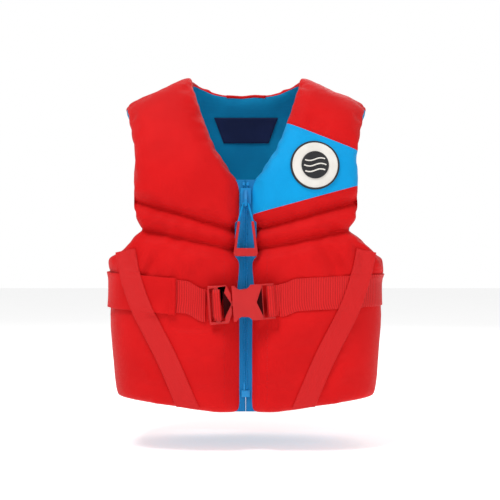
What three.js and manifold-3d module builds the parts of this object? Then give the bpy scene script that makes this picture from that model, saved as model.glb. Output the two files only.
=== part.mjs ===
// A youth foam life jacket with a front zip, a waist belt with a side-release buckle and two
// diagonal straps. Millimetres, +Z up, the front faces -Y and the wearer's left is +X.
import * as THREE from "three";
import { mergeVertices } from "three/addons/utils/BufferGeometryUtils.js";
import Module from "manifold-3d";

const wasm = await Module();
wasm.setup();

// ---------------------------------------------------------------- driving dimensions

const GAP = 0.3; // clearance between pieces that touch
const FAR = 600; // reach of a cutting tool that passes right through

const BODY = {
  hemHalfWidth: 158,
  chestHalfWidth: 170,
  chestHeight: 185,
  halfDepth: 100,
  cornerPower: 4.5,
  domeStart: 240,
  domeRise: 164,
  domeEnd: 88, // degrees
  neckHalfWidth: 66,
  shoulderSlope: 0.4,
  sides: 48,
  wallRows: 5,
  domeRows: 8,
};
const WALL = { shell: 1.2, foam: 28.2, lining: 1, shoulderFoamShare: 0.3 };
const HEM = { rise: 17, sideX: 150 };
const VALLEY = { floorHalfWidth: 9, topHalfWidth: 27, depth: 14, top: 285 };
const ZIP_GAP = 8; // half the space between the two fronts
const V_NECK = { bottomHalfWidth: 12, bottom: 275, bulge: 4 };
const ARMHOLE = {
  frontX: 132,
  notchX: 124,
  notchZ: 215,
  sideZ: 183,
  straightTop: 300,
  shoulderX: 150,
  backStep: 4,
};
const ARM_TUNNEL = { halfDepth: 60, z: 235, halfHeight: 110, fromX: 112 };
const BACK_NECK = { depth: 40 };
const SIDE_SEAM = 40; // half the width of a side panel, along Y
const UPPER_SEAM = { z: 213, slope: 0.28 };
const LOWER_FOLD = { z: 190, slope: 0.217 };
const YOKE_TOP = { z: 362, slope: -0.39 };
const YOKE_BOTTOM = { z: 232, slope: 0.274 };
const BACK_SEAM = { z: 215, slope: 0 };
const FOLD_GAP = 4; // space between two foam slabs
const WEBBING = { thickness: 1.6, beltWidth: 38, strapWidth: 24 };
const SLEEVE = { width: 41, thickness: 1.4, endX: 80 };
const BELT = { sideX: 175, sideZ: 146 };
const STRAP_ROUTE = [[141, 194], [133, 157], [120, 122], [92, 67], [63, -8]];
const BADGE = { x: 80.7, z: 291.5, radius: 28, thickness: 1.2, discRadius: 16, discThickness: 0.8 };
const LABEL = { top: 362, bottom: 330, topHalfWidth: 41, bottomHalfWidth: 29, thickness: 0.6 };
const BINDING_RADIUS = 1.8;

const TAPE = { thickness: 1.2, width: 6.9, bottom: 3, top: 275 };
const COIL = { width: 2.4, thickness: 3, top: 268 };
const COIL_SPACE = 0.8; // half the space between the two coils, where the slider's post runs
const SLIDER = { width: 12, height: 19, top: 265, plate: 1.2, post: 0.5, lip: 1.1 };
const SLIDER_CLEARANCE = 0.7;
const EYE = { radius: 2, wall: 1.9, width: 3, reach: 5.1 };
const ZIP_BOX = { width: 10, height: 8, bottom: 20, thickness: 5 };
const PIN = { width: 2, thickness: 2.4, length: 15 };
const TOP_STOP = { height: 4, width: 3, thickness: 4 };
const PULL = {
  cordRadius: 1.1,
  cordDrop: 20.7,
  legTop: 8,
  legWidth: 3.2,
  barHalfWidth: 14.5,
  height: 41,
  bar: 9.5,
  thickness: 5,
};

const BUCKLE = { x: -4, z: 131, tilt: 4, thickness: 11, standOff: 0.2 }; // tilt in degrees
const SOCKET = {
  left: -11,
  right: 23,
  halfHeight: 20.5,
  wall: 2.2,
  cavityRight: 20,
  cavityHalfHeight: 12.5,
  notchX: 1.5,
  notchZ: 25.5,
  notchRadius: 10.5,
  windowHalf: 6.5,
};
const SOCKET_END = { barLeft: 30.5, barRight: 36, rail: 1.7, end: 37.5 };
const PLUG = {
  left: -39,
  base: -17,
  halfHeight: 22.5,
  rail: 2,
  side: 3,
  barLeft: -31.6,
  barRight: -26,
  slotRight: -21,
  neck: -12,
  neckHalfHeight: 11.4,
  prong: 15,
  prongHalfHeight: 3,
  thickness: 5,
};
const ARM = { root: 5.2, rootWidth: 3.6, reach: 9, pad: 16.5, thickness: 4.4 };

// ---------------------------------------------------------------- sizes worked out from these

const LINED = WALL.shell + WALL.foam + 2 * GAP; // from the outer face to the lining
const THICKNESS = LINED + WALL.lining;
const shoulderRest = BODY.domeStart + BODY.domeRise - insetAt(THICKNESS, BODY.domeEnd);
const valleyFloor = -BODY.halfDepth + VALLEY.depth;
const zipPlane = valleyFloor + 1; // the middle of the tapes
const pullPlane = zipPlane - COIL.thickness / 2 - SLIDER_CLEARANCE - SLIDER.plate - EYE.reach;
const eyeZ = SLIDER.top - SLIDER.height + 1.5;
const radians = THREE.MathUtils.degToRad;
const COLOURS = {
  red: 0xe0242a,
  webbing: 0xde2d2d,
  yoke: 0x00a8eb,
  lining: 0x0078b4,
  foam: 0xd9dde0,
  zip: 0x006eb9,
  navy: 0x14234b,
  white: 0xebe6e1,
  dark: 0x262628,
  plastic: 0xc8181e,
};

// ---------------------------------------------------------------- solids from geometries

/** A manifold solid from a closed three.js geometry. */
function solid(geometry) {
  const bare = geometry.index ? geometry.toNonIndexed() : geometry.clone();
  bare.deleteAttribute("normal");
  bare.deleteAttribute("uv");
  const merged = mergeVertices(bare, 1e-4);
  return new wasm.Manifold(
    new wasm.Mesh({
      numProp: 3,
      vertProperties: new Float32Array(merged.attributes.position.array),
      triVerts: new Uint32Array(merged.index.array),
    }),
  );
}

/** A box from its lowest to its highest corner. */
function block(low, high) {
  const size = high.map((value, axis) => value - low[axis]);
  const geometry = new THREE.BoxGeometry(...size);
  geometry.translate(...low.map((value, axis) => value + size[axis] / 2));
  return solid(geometry);
}

/** An outline of [x, z] points, extruded along Y between two planes. */
function prismY(points, yFrom = -FAR, yTo = FAR) {
  const shape = new THREE.Shape(points.map(([x, z]) => new THREE.Vector2(x, z)));
  const geometry = new THREE.ExtrudeGeometry(shape, { depth: yTo - yFrom, bevelEnabled: false });
  geometry.rotateX(Math.PI / 2);
  geometry.translate(0, yTo, 0);
  return solid(geometry);
}

/** An outline of [x, y] points, extruded along Z between two heights. */
function prismZ(points, zFrom = -FAR, zTo = FAR) {
  const shape = new THREE.Shape(points.map(([x, y]) => new THREE.Vector2(x, y)));
  const geometry = new THREE.ExtrudeGeometry(shape, { depth: zTo - zFrom, bevelEnabled: false });
  geometry.translate(0, 0, zFrom);
  return solid(geometry);
}

/** A smooth run of [x, z] points through the ones given. */
function smooth(points, steps) {
  const curve = new THREE.SplineCurve(points.map(([x, z]) => new THREE.Vector2(x, z)));
  return curve.getPoints(steps).map((point) => [point.x, point.y]);
}

/** A closed outline moved inwards by a distance, corner by corner. */
function insetOutline(points, distance) {
  const turn = THREE.ShapeUtils.area(points.map(([x, y]) => new THREE.Vector2(x, y))) > 0 ? 1 : -1;
  const count = points.length;
  return points.map((point, index) => {
    const before = points[(index + count - 1) % count];
    const after = points[(index + 1) % count];
    const [ax, ay] = unit(point[0] - before[0], point[1] - before[1]);
    const [bx, by] = unit(after[0] - point[0], after[1] - point[1]);
    const share = (distance * turn) / (1 + ax * bx + ay * by);
    return [point[0] - (ay + by) * share, point[1] + (ax + bx) * share];
  });
}

function unit(x, y) {
  const length = Math.hypot(x, y);
  return [x / length, y / length];
}

/** The points of a strip of constant width along a run of [x, z] points. */
function strip(route, width) {
  const edge = (side) =>
    route.map(([x, z], index) => {
      const [ax, az] = route[Math.max(index - 1, 0)];
      const [bx, bz] = route[Math.min(index + 1, route.length - 1)];
      const [dx, dz] = unit(bx - ax, bz - az);
      return [x - (dz * side * width) / 2, z + (dx * side * width) / 2];
    });
  return [...edge(1), ...edge(-1).reverse()];
}

const mirrored = (points, side) => points.map(([x, z]) => [x * side, z]);

// ---------------------------------------------------------------- the form of the torso

/** How far inside the outer face a layer lies: the foam thins out over the shoulders. */
function insetAt(depth, angle) {
  const fade = THREE.MathUtils.smoothstep(angle, 25, 70);
  const foam = THREE.MathUtils.clamp(depth - WALL.shell - GAP, 0, WALL.foam);
  return depth - foam * fade * (1 - WALL.shoulderFoamShare);
}

/** The closed torso form, moved inwards by a depth. */
function torso(depth) {
  const rows = BODY.wallRows + BODY.domeRows;
  const geometry = new THREE.CylinderGeometry(1, 1, 1, BODY.sides, rows);
  const position = geometry.attributes.position;
  const power = 2 / BODY.cornerPower;
  const bottom = -2 * HEM.rise;
  for (let index = 0; index < position.count; index += 1) {
    const row = Math.round((position.getY(index) + 0.5) * rows);
    const across = position.getX(index);
    const along = -position.getZ(index);
    const angle = (Math.max(row - BODY.wallRows, 0) / BODY.domeRows) * BODY.domeEnd;
    const inset = insetAt(depth, angle);
    const level = bottom + ((BODY.domeStart - bottom) * Math.min(row, BODY.wallRows)) / BODY.wallRows;
    const share = THREE.MathUtils.clamp(level / BODY.chestHeight, 0, 1);
    const spread = Math.sin((share * Math.PI) / 2);
    const halfWidth = BODY.hemHalfWidth + (BODY.chestHalfWidth - BODY.hemHalfWidth) * spread - inset;
    const x = Math.sign(across) * Math.abs(across) ** power * halfWidth;
    const y = Math.sign(along) * Math.abs(along) ** power * (BODY.halfDepth - inset);
    const slope = Math.max(Math.abs(x) - BODY.neckHalfWidth, 0) * BODY.shoulderSlope;
    const rise = (BODY.domeRise - slope - inset) * Math.sin(radians(angle));
    position.setXYZ(index, x, y * Math.cos(radians(angle)), level + rise);
  }
  return solid(geometry);
}

/** The V-shaped space along the middle of the front, which the zip lies in. */
function valley(depth) {
  const slant = (VALLEY.topHalfWidth - VALLEY.floorHalfWidth) / VALLEY.depth;
  const floor = valleyFloor + depth;
  const half = VALLEY.floorHalfWidth + depth;
  const out = 2 * VALLEY.depth + depth;
  const points = [[-half, floor], [-half - out * slant, floor - out], [half + out * slant, floor - out]];
  return prismZ([...points, [half, floor]], -FAR, VALLEY.top + depth);
}

const forms = new Map();

/** The torso form with the valley cut into it, kept once made. */
function form(depth) {
  if (!forms.has(depth)) {
    forms.set(depth, torso(depth).subtract(valley(depth)));
  }
  return forms.get(depth);
}

/** What lies between two depths below the outer face. */
const layer = (from, to) => form(from).subtract(form(to));

/** What lies between two heights above the outer face, with no valley. */
const skin = (low, high) => torso(-high).subtract(torso(-low));

// ---------------------------------------------------------------- outlines of the panels

const hemLine = smooth([[0, 0], [52, 3.5], [83, 9], [HEM.sideX, HEM.rise]], 5);

/** The edge of an armhole, from the side of the body up to the shoulder. */
function armholeEdge(step) {
  const { frontX, notchX, notchZ, sideZ, straightTop, shoulderX } = ARMHOLE;
  const under = smooth([[168, sideZ], [150, sideZ + 7], [136, sideZ + 19], [notchX + 1, notchZ]], 5);
  const up = smooth([[notchX, notchZ + 4], [frontX, notchZ + 17], [frontX, straightTop]], 4);
  const shoulder = smooth([[frontX + 5, straightTop + 30], [shoulderX, straightTop + 70]], 1);
  const edge = [...under, ...up, ...shoulder, [shoulderX, FAR]];
  return [[FAR, sideZ], ...edge.map(([x, z]) => [x + step, z])];
}

/** The edge of the V neck, from the shoulder down to the zip. */
function neckEdge() {
  const { bottomHalfWidth, bottom, bulge } = V_NECK;
  const top = BODY.domeStart + BODY.domeRise;
  const middle = [(BODY.neckHalfWidth + bottomHalfWidth) / 2 + bulge, (top + bottom) / 2 - 3 * bulge];
  return [
    [BODY.neckHalfWidth, FAR],
    ...smooth([[BODY.neckHalfWidth, top], middle, [bottomHalfWidth, bottom]], 6),
    [ZIP_GAP, bottom - 1],
  ];
}

const frontOutline = [
  [ZIP_GAP, hemLine[0][1]],
  ...hemLine.slice(1),
  [FAR, HEM.rise],
  ...armholeEdge(0),
  ...neckEdge(),
];
const backHalf = [...hemLine.slice(1), [FAR, HEM.rise], ...armholeEdge(ARMHOLE.backStep)];
const backOutline = [hemLine[0], ...backHalf, ...mirrored(backHalf, -1).reverse()];
const sideOutline = [
  ...hemLine.slice(-2),
  [FAR, HEM.rise],
  ...armholeEdge(0).slice(0, 4),
  [hemLine.at(-2)[0], ARMHOLE.notchZ],
];

/** The way through both armholes from side to side, widened by a distance. */
function armTunnel(grow) {
  const { halfDepth, z, halfHeight, fromX } = ARM_TUNNEL;
  const way = new THREE.CylinderGeometry(1, 1, 2 * FAR, 32);
  way.rotateZ(Math.PI / 2);
  way.scale(1, halfDepth + grow, halfHeight + grow);
  way.translate(0, 0, z);
  const chest = block([-fromX + grow, -FAR, -FAR], [fromX - grow, FAR, FAR]);
  const floor = block([-FAR, -FAR, -FAR], [FAR, FAR, ARMHOLE.notchZ - 2 * GAP - grow]);
  return solid(way).subtract(chest).subtract(floor);
}

/** The space of one front, moved inwards from its outline. */
function frontSpace(side, inset) {
  const seam = -GAP / 2 - inset;
  const sideBlock = block([-FAR, -SIDE_SEAM + seam, -FAR], [FAR, FAR, ARMHOLE.notchZ]);
  const outline = prismY(mirrored(insetOutline(frontOutline, inset), side), -FAR, seam);
  return outline.subtract(sideBlock).subtract(armTunnel(inset));
}

/** The space of the back, moved inwards from its outline. */
function backSpace(inset) {
  const seam = GAP / 2 + inset;
  const sideBlock = block([-FAR, -FAR, -FAR], [FAR, SIDE_SEAM + seam, ARMHOLE.notchZ]);
  const neck = new THREE.CylinderGeometry(1, 1, 2 * FAR, 32);
  neck.rotateX(Math.PI / 2);
  neck.scale(BODY.neckHalfWidth + inset, BACK_NECK.depth + inset, 1);
  const outline = prismY(insetOutline(backOutline, inset), seam, FAR);
  return outline.subtract(sideBlock).subtract(solid(neck)).subtract(armTunnel(inset));
}

/** The space of one side panel, moved inwards from its outline. */
function sideSpace(side, inset) {
  const reach = SIDE_SEAM - GAP / 2 - inset;
  return prismY(mirrored(insetOutline(sideOutline, inset), side), -reach, reach);
}

/** What lies above a slanted line across one side of the jacket, or across both sides. */
function above(line, gap = GAP / 2) {
  const rise = line.slope * FAR;
  const points = [[-FAR, line.z + rise + gap], [0, line.z + gap], [FAR, line.z + rise + gap]];
  return prismY([...points, [FAR, 2 * FAR], [-FAR, 2 * FAR]]);
}

/** What lies below a slanted line across one side of the jacket, or across both sides. */
function below(line, gap = GAP / 2) {
  const rise = line.slope * FAR;
  const points = [[-FAR, line.z + rise - gap], [0, line.z - gap], [FAR, line.z + rise - gap]];
  return prismY([[-FAR, -FAR], ...points, [FAR, -FAR]]);
}

/** A shell that covers the outer face of a space and turns in along its edges. */
function shell(space) {
  const outer = layer(0, LINED - GAP).intersect(space(0));
  return outer.subtract(form(WALL.shell).intersect(space(WALL.shell)));
}

const foam = (space) => layer(WALL.shell + GAP, LINED - GAP).intersect(space(WALL.shell + GAP));
const lining = (space) => layer(LINED, THICKNESS).intersect(space(0));

// ---------------------------------------------------------------- scene graph

const jacket = new THREE.Group();
jacket.position.z = -shoulderRest;

/** Turns a solid or a geometry into a named mesh in a group. */
function add(parent, name, shape, colour, { roughness = 0.8, metalness = 0 } = {}) {
  let geometry = shape;
  if (shape instanceof wasm.Manifold) {
    const mesh = shape.getMesh();
    geometry = new THREE.BufferGeometry();
    geometry.setAttribute("position", new THREE.BufferAttribute(mesh.vertProperties, 3));
    geometry.setIndex(new THREE.BufferAttribute(mesh.triVerts, 1));
    geometry.computeVertexNormals();
  }
  const material = new THREE.MeshStandardMaterial({ color: colour, roughness, metalness });
  const mesh = new THREE.Mesh(geometry, material);
  mesh.name = name;
  parent.add(mesh);
  return mesh;
}

const SIDES = [["right", -1], ["left", 1]];

/** Shells, foam and linings of the fronts, the back and the sides. */
function addPanels() {
  for (const [name, side] of SIDES) {
    const space = (inset) => frontSpace(side, inset);
    const cover = shell(space);
    add(jacket, `front_shell_${name}_lower`, cover.intersect(below(UPPER_SEAM)), COLOURS.red);
    const upper = cover.intersect(above(UPPER_SEAM));
    if (side < 0) {
      add(jacket, "front_shell_right_upper", upper, COLOURS.red);
    } else {
      const band = above(YOKE_BOTTOM).intersect(below(YOKE_TOP));
      add(jacket, "front_shell_left_chest", upper.intersect(below(YOKE_BOTTOM)), COLOURS.red);
      add(jacket, "front_shell_left_yoke", upper.intersect(band), COLOURS.yoke);
      add(jacket, "front_shell_left_shoulder", upper.intersect(above(YOKE_TOP)), COLOURS.red);
    }
    const slab = foam(space);
    const middle = above(LOWER_FOLD, FOLD_GAP / 2).intersect(below(UPPER_SEAM, FOLD_GAP / 2));
    add(jacket, `foam_front_${name}_lower`, slab.intersect(below(LOWER_FOLD, FOLD_GAP / 2)), COLOURS.foam);
    add(jacket, `foam_front_${name}_middle`, slab.intersect(middle), COLOURS.foam);
    add(jacket, `foam_front_${name}_upper`, slab.intersect(above(UPPER_SEAM, FOLD_GAP / 2)), COLOURS.foam);
    add(jacket, `front_lining_${name}`, lining(space), COLOURS.lining);

    const sidePanel = (inset) => sideSpace(side, inset);
    add(jacket, `side_shell_${name}`, shell(sidePanel), COLOURS.red);
    add(jacket, `foam_side_${name}`, foam(sidePanel), COLOURS.foam);
    add(jacket, `side_lining_${name}`, lining(sidePanel), COLOURS.lining);
  }
  const cover = shell(backSpace);
  add(jacket, "back_shell_lower", cover.intersect(below(BACK_SEAM)), COLOURS.red);
  add(jacket, "back_shell_upper", cover.intersect(above(BACK_SEAM)), COLOURS.red);
  const slab = foam(backSpace);
  add(jacket, "foam_back_lower", slab.intersect(below(BACK_SEAM, FOLD_GAP / 2)), COLOURS.foam);
  add(jacket, "foam_back_upper", slab.intersect(above(BACK_SEAM, FOLD_GAP / 2)), COLOURS.foam);
  add(jacket, "back_lining", lining(backSpace), COLOURS.lining);
}

/** The rolled edge along the back of the neck. */
function addNeckBinding() {
  const lift = BINDING_RADIUS + GAP + 0.4;
  const points = [];
  for (let turn = -80; turn <= 80; turn += 10) {
    const x = (BODY.neckHalfWidth + BINDING_RADIUS) * Math.sin(radians(turn));
    const y = (BACK_NECK.depth + BINDING_RADIUS) * Math.cos(radians(turn));
    const tip = Math.acos(Math.min(y / BODY.halfDepth, 1));
    const z = BODY.domeStart + (BODY.domeRise + lift) * Math.sin(tip);
    points.push(new THREE.Vector3(x, y + lift * Math.cos(tip), z));
  }
  const section = new THREE.Shape();
  section.absarc(0, 0, BINDING_RADIUS, 0, 2 * Math.PI);
  const geometry = new THREE.ExtrudeGeometry(section, {
    extrudePath: new THREE.CatmullRomCurve3(points),
    steps: 24,
    curveSegments: 4,
    bevelEnabled: false,
  });
  add(jacket, "neck_binding", geometry, COLOURS.red);
}

/** Badge on the chest and label inside the back. */
function addPatches() {
  const disc = (radius) => {
    const circle = new THREE.CylinderGeometry(radius, radius, FAR, 32);
    circle.translate(BADGE.x, -FAR / 2, BADGE.z);
    return solid(circle);
  };
  const patch = skin(GAP, GAP + BADGE.thickness).intersect(disc(BADGE.radius));
  const rest = 2 * GAP + BADGE.thickness;
  const centre = skin(rest, rest + BADGE.discThickness).intersect(disc(BADGE.discRadius));
  add(jacket, "chest_badge", patch, COLOURS.white, { roughness: 0.5 });
  add(jacket, "chest_badge_centre", centre, COLOURS.dark, { roughness: 0.5 });
  const { top, bottom, topHalfWidth, bottomHalfWidth, thickness } = LABEL;
  const trapezoid = [[-topHalfWidth, top], [topHalfWidth, top]];
  const outline = prismY([...trapezoid, [bottomHalfWidth, bottom], [-bottomHalfWidth, bottom]], 0, FAR);
  const depth = THICKNESS + GAP;
  add(jacket, "size_label", layer(depth, depth + thickness).intersect(outline), COLOURS.navy);
}

// ---------------------------------------------------------------- zip

const coilBack = zipPlane + COIL.thickness / 2;
const coilFront = zipPlane - COIL.thickness / 2;

/** The retaining box, with a pocket for the pin. */
function zipBox(grow = 0) {
  const half = ZIP_BOX.thickness / 2 + grow;
  return block(
    [-ZIP_BOX.width / 2 - grow, zipPlane - half, ZIP_BOX.bottom - grow],
    [ZIP_BOX.width / 2 + grow, zipPlane + half, ZIP_BOX.bottom + ZIP_BOX.height + grow],
  );
}

/** The pin at the foot of the right tape. */
function zipPin(grow = 0) {
  const half = PIN.thickness / 2 + grow;
  const bottom = ZIP_BOX.bottom + 2;
  return block(
    [-COIL_SPACE - PIN.width - grow, zipPlane - half, bottom - grow],
    [-COIL_SPACE + grow, zipPlane + half, bottom + PIN.length + grow],
  );
}

/** The stop that ends a coil at the top. */
function topStop(side, grow = 0) {
  const near = COIL_SPACE - grow;
  const far = COIL_SPACE + TOP_STOP.width + grow;
  const half = TOP_STOP.thickness / 2 + grow;
  return block(
    [Math.min(near * side, far * side), zipPlane - half, COIL.top - grow],
    [Math.max(near * side, far * side), zipPlane + half, COIL.top + TOP_STOP.height + grow],
  );
}

/** Both tapes with their coils, the stops, the pin and the box. */
function addZip() {
  for (const [name, side] of SIDES) {
    const near = COIL_SPACE * side;
    const tapeFar = (COIL_SPACE + TAPE.width) * side;
    const coilFar = (COIL_SPACE + COIL.width) * side;
    const half = TAPE.thickness / 2;
    const tape = block(
      [Math.min(near, tapeFar), zipPlane - half, TAPE.bottom],
      [Math.max(near, tapeFar), zipPlane + half, TAPE.top],
    );
    const coil = block(
      [Math.min(near, coilFar), coilFront, TAPE.bottom + 1],
      [Math.max(near, coilFar), coilBack, COIL.top + 1],
    );
    const cut = tape.add(coil).subtract(zipBox(GAP)).subtract(zipPin(GAP)).subtract(topStop(side, GAP));
    const pieces = cut.decompose().sort((a, b) => b.volume() - a.volume());
    add(jacket, `zip_tape_${name}`, pieces[0], COLOURS.zip);
    add(jacket, `zip_stop_${name}`, topStop(side), COLOURS.zip, { roughness: 0.4 });
  }
  add(jacket, "zip_pin", zipPin(), COLOURS.zip, { roughness: 0.4 });
  add(jacket, "zip_box", zipBox().subtract(zipPin(GAP)), COLOURS.zip, { roughness: 0.4 });
}

/** The slider: two plates, the post between the coils, the lips and the eye for the pull. */
function addSlider() {
  const bottom = SLIDER.top - SLIDER.height;
  const innerHalf = COIL.thickness / 2 + SLIDER_CLEARANCE;
  const outerHalf = innerHalf + SLIDER.plate;
  const channel = COIL_SPACE + COIL.width + SLIDER_CLEARANCE;
  const lipHalf = TAPE.thickness / 2 + SLIDER_CLEARANCE;
  const half = SLIDER.width / 2;
  let body = block([-half, zipPlane - outerHalf, bottom], [half, zipPlane + outerHalf, SLIDER.top]);
  body = body.subtract(block([-channel, zipPlane - innerHalf, -FAR], [channel, zipPlane + innerHalf, FAR]));
  body = body.subtract(block([-FAR, zipPlane - lipHalf, -FAR], [FAR, zipPlane + lipHalf, FAR]));
  const post = block(
    [-SLIDER.post, zipPlane - innerHalf - 0.1, SLIDER.top - SLIDER.height / 3],
    [SLIDER.post, zipPlane + innerHalf + 0.1, SLIDER.top],
  );
  const front = zipPlane - outerHalf;
  const tip = pullPlane - EYE.radius - EYE.wall / 2;
  const profile = [[front + 0.1, SLIDER.top - 2], [front + 0.1, bottom], [tip + 1.5, bottom - 2.5]];
  const arch = new THREE.Shape(
    [...profile, [tip, bottom - 1], [tip, bottom + 6]].map(([y, z]) => new THREE.Vector2(y, z)),
  );
  const bridge = new THREE.ExtrudeGeometry(arch, { depth: EYE.width, bevelEnabled: false });
  bridge.rotateY(Math.PI / 2);
  bridge.rotateX(Math.PI / 2);
  bridge.translate(-EYE.width / 2, 0, 0);
  const hole = new THREE.CylinderGeometry(EYE.radius, EYE.radius, FAR, 16);
  hole.rotateZ(Math.PI / 2);
  hole.translate(0, pullPlane, eyeZ);
  const slider = body.add(post).add(solid(bridge)).subtract(solid(hole));
  add(jacket, "zip_slider", slider, COLOURS.zip, { roughness: 0.35, metalness: 0.2 });
}

/** The cord loop through the slider's eye and the handle that hangs from it. */
function addPull() {
  const foot = eyeZ - PULL.cordDrop;
  const bend = PULL.legTop * 0.55;
  const route = [[-PULL.legTop, foot], [-bend, foot + 14], [-2.7, eyeZ - 1.4], [0, eyeZ]];
  const points = [...route, ...mirrored(route.slice(0, 3), -1).reverse()];
  const section = new THREE.Shape();
  section.absarc(0, 0, PULL.cordRadius, 0, 2 * Math.PI);
  const cord = new THREE.ExtrudeGeometry(section, {
    extrudePath: new THREE.CatmullRomCurve3(points.map(([x, z]) => new THREE.Vector3(x, pullPlane, z))),
    steps: 28,
    curveSegments: 4,
    bevelEnabled: false,
  });
  add(jacket, "zip_pull_cord", cord, COLOURS.yoke);
  const top = foot - 2 * GAP;
  const bottom = top - PULL.height;
  const outerTop = PULL.legTop + PULL.legWidth / 2;
  const innerTop = PULL.legTop - PULL.legWidth / 2;
  const innerBottom = PULL.barHalfWidth - PULL.legWidth - 0.8;
  const half = [
    [innerTop, top],
    [outerTop, top],
    [PULL.barHalfWidth, bottom + 3],
    [PULL.barHalfWidth - 2, bottom],
  ];
  const outline = [
    ...half,
    ...mirrored(half, -1).reverse(),
    [-innerBottom, bottom + PULL.bar],
    [innerBottom, bottom + PULL.bar],
  ];
  const reach = PULL.thickness / 2;
  const handle = prismY(outline, pullPlane - reach, pullPlane + reach);
  add(jacket, "zip_pull_handle", handle, COLOURS.plastic, { roughness: 0.45 });
}

// ---------------------------------------------------------------- buckle

const buckle = new THREE.Group();
buckle.position.set(BUCKLE.x, -BODY.halfDepth - BUCKLE.standOff, BUCKLE.z);
buckle.rotation.y = -radians(BUCKLE.tilt);
buckle.updateMatrix();

const plugBack = -(BUCKLE.thickness - PLUG.thickness) / 2;
const plugFront = plugBack - PLUG.thickness;

/** A flat plate of the buckle from its [x, z] outline, between two depths. */
const plate = (points, back, front) => prismY(points, front, back);

/** A rectangle of [x, z] points, the same above and below the middle. */
const slab = (left, right, half) => [[left, -half], [right, -half], [right, half], [left, half]];

/** The socket: a hollow body with waisted sides and windows, and a bar for the webbing. */
function addSocket() {
  const { left, right, halfHeight, wall, cavityRight, cavityHalfHeight, windowHalf } = SOCKET;
  const { notchX, notchZ, notchRadius } = SOCKET;
  const { barLeft, barRight, rail, end } = SOCKET_END;
  let body = plate(slab(left, right, halfHeight), 0, -BUCKLE.thickness);
  for (const side of [-1, 1]) {
    const notch = new THREE.CylinderGeometry(notchRadius, notchRadius, FAR, 32);
    notch.translate(notchX, 0, side * notchZ);
    body = body.subtract(solid(notch));
  }
  body = body.subtract(plate(slab(left - 1, cavityRight, cavityHalfHeight), -wall, wall - BUCKLE.thickness));
  const window = slab(notchX - windowHalf, notchX + windowHalf, FAR);
  body = body.subtract(plate(window, -wall - GAP, wall + GAP - BUCKLE.thickness));
  const inner = halfHeight - rail;
  const frame = plate(slab(right - 1, end, halfHeight), plugBack, plugFront);
  const hole = plate(slab(right + 1.5, FAR, inner), FAR, -FAR);
  const bar = plate(slab(barLeft, barRight, halfHeight - rail / 2), plugBack, plugFront);
  add(buckle, "buckle_socket", body.add(frame.subtract(hole)).add(bar), COLOURS.plastic, { roughness: 0.4 });
}

/** The plug: the ladder frame for the webbing, the neck and the middle prong. */
function addPlug() {
  const { left, base, halfHeight, rail, side, barLeft, barRight, slotRight } = PLUG;
  const { neck, neckHalfHeight, prong, prongHalfHeight } = PLUG;
  const half = [[base, halfHeight - 0.5], [neck, neckHalfHeight], [neck, prongHalfHeight]];
  const outline = [
    [left, halfHeight],
    ...half,
    [prong, prongHalfHeight],
    [prong, -prongHalfHeight],
    ...half.map(([x, z]) => [x, -z]).reverse(),
    [left, -halfHeight],
  ];
  const outerSlot = plate(slab(left + rail, barLeft, halfHeight - side), FAR, -FAR);
  const innerSlot = plate(slab(barRight, slotRight, halfHeight - side), FAR, -FAR);
  const body = plate(outline, plugBack, plugFront).subtract(outerSlot).subtract(innerSlot);
  add(buckle, "buckle_plug", body, COLOURS.plastic, { roughness: 0.4 });
}

/** The two spring arms, whose pads show in the windows of the socket. */
function addArms() {
  const { root, rootWidth, reach, pad, thickness } = ARM;
  const start = PLUG.neck + 2 * GAP;
  const back = -(BUCKLE.thickness - thickness) / 2;
  const outer = root + rootWidth;
  const outline = [
    [start, root],
    [start, outer],
    [SOCKET.notchX - SOCKET.windowHalf + 1, outer + 2],
    [SOCKET.notchX - SOCKET.windowHalf + 1, pad - 1],
    [SOCKET.notchX + SOCKET.windowHalf - 2, pad],
    [reach, outer + 1],
    [reach, outer - 1],
    [-1, root + 1.4],
  ];
  for (const [name, side] of [["upper", 1], ["lower", -1]]) {
    const points = outline.map(([x, z]) => [x, z * side]);
    add(buckle, `buckle_arm_${name}`, plate(points, back, back - thickness), COLOURS.plastic, { roughness: 0.4 });
  }
}

// ---------------------------------------------------------------- webbing

/** A loop of webbing round a bar of the buckle, with a tail, in the jacket's own frame. */
function barLoop(barFrom, barTo, tailTo) {
  const { thickness, beltWidth } = WEBBING;
  const inner = block([barFrom - GAP, plugFront - GAP, -FAR], [barTo + GAP, plugBack + GAP, FAR]);
  const grow = GAP + thickness;
  const reach = beltWidth / 2 - 1;
  const outer = block([barFrom - grow, plugFront - grow, -reach], [barTo + grow, plugBack + grow, reach]);
  const tailStart = (barFrom + barTo) / 2;
  const tail = block(
    [Math.min(tailStart, tailTo), plugBack + GAP, -reach],
    [Math.max(tailStart, tailTo), plugBack + grow, reach],
  );
  const loop = outer.subtract(inner).add(tail);
  return loop.transform(buckle.matrix.toArray());
}

/** A point of the buckle's middle line, as [x, z] in the jacket's own frame. */
function onBuckle(x) {
  const point = new THREE.Vector3(x, 0, 0).applyMatrix4(buckle.matrix);
  return [point.x, point.z];
}

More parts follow.
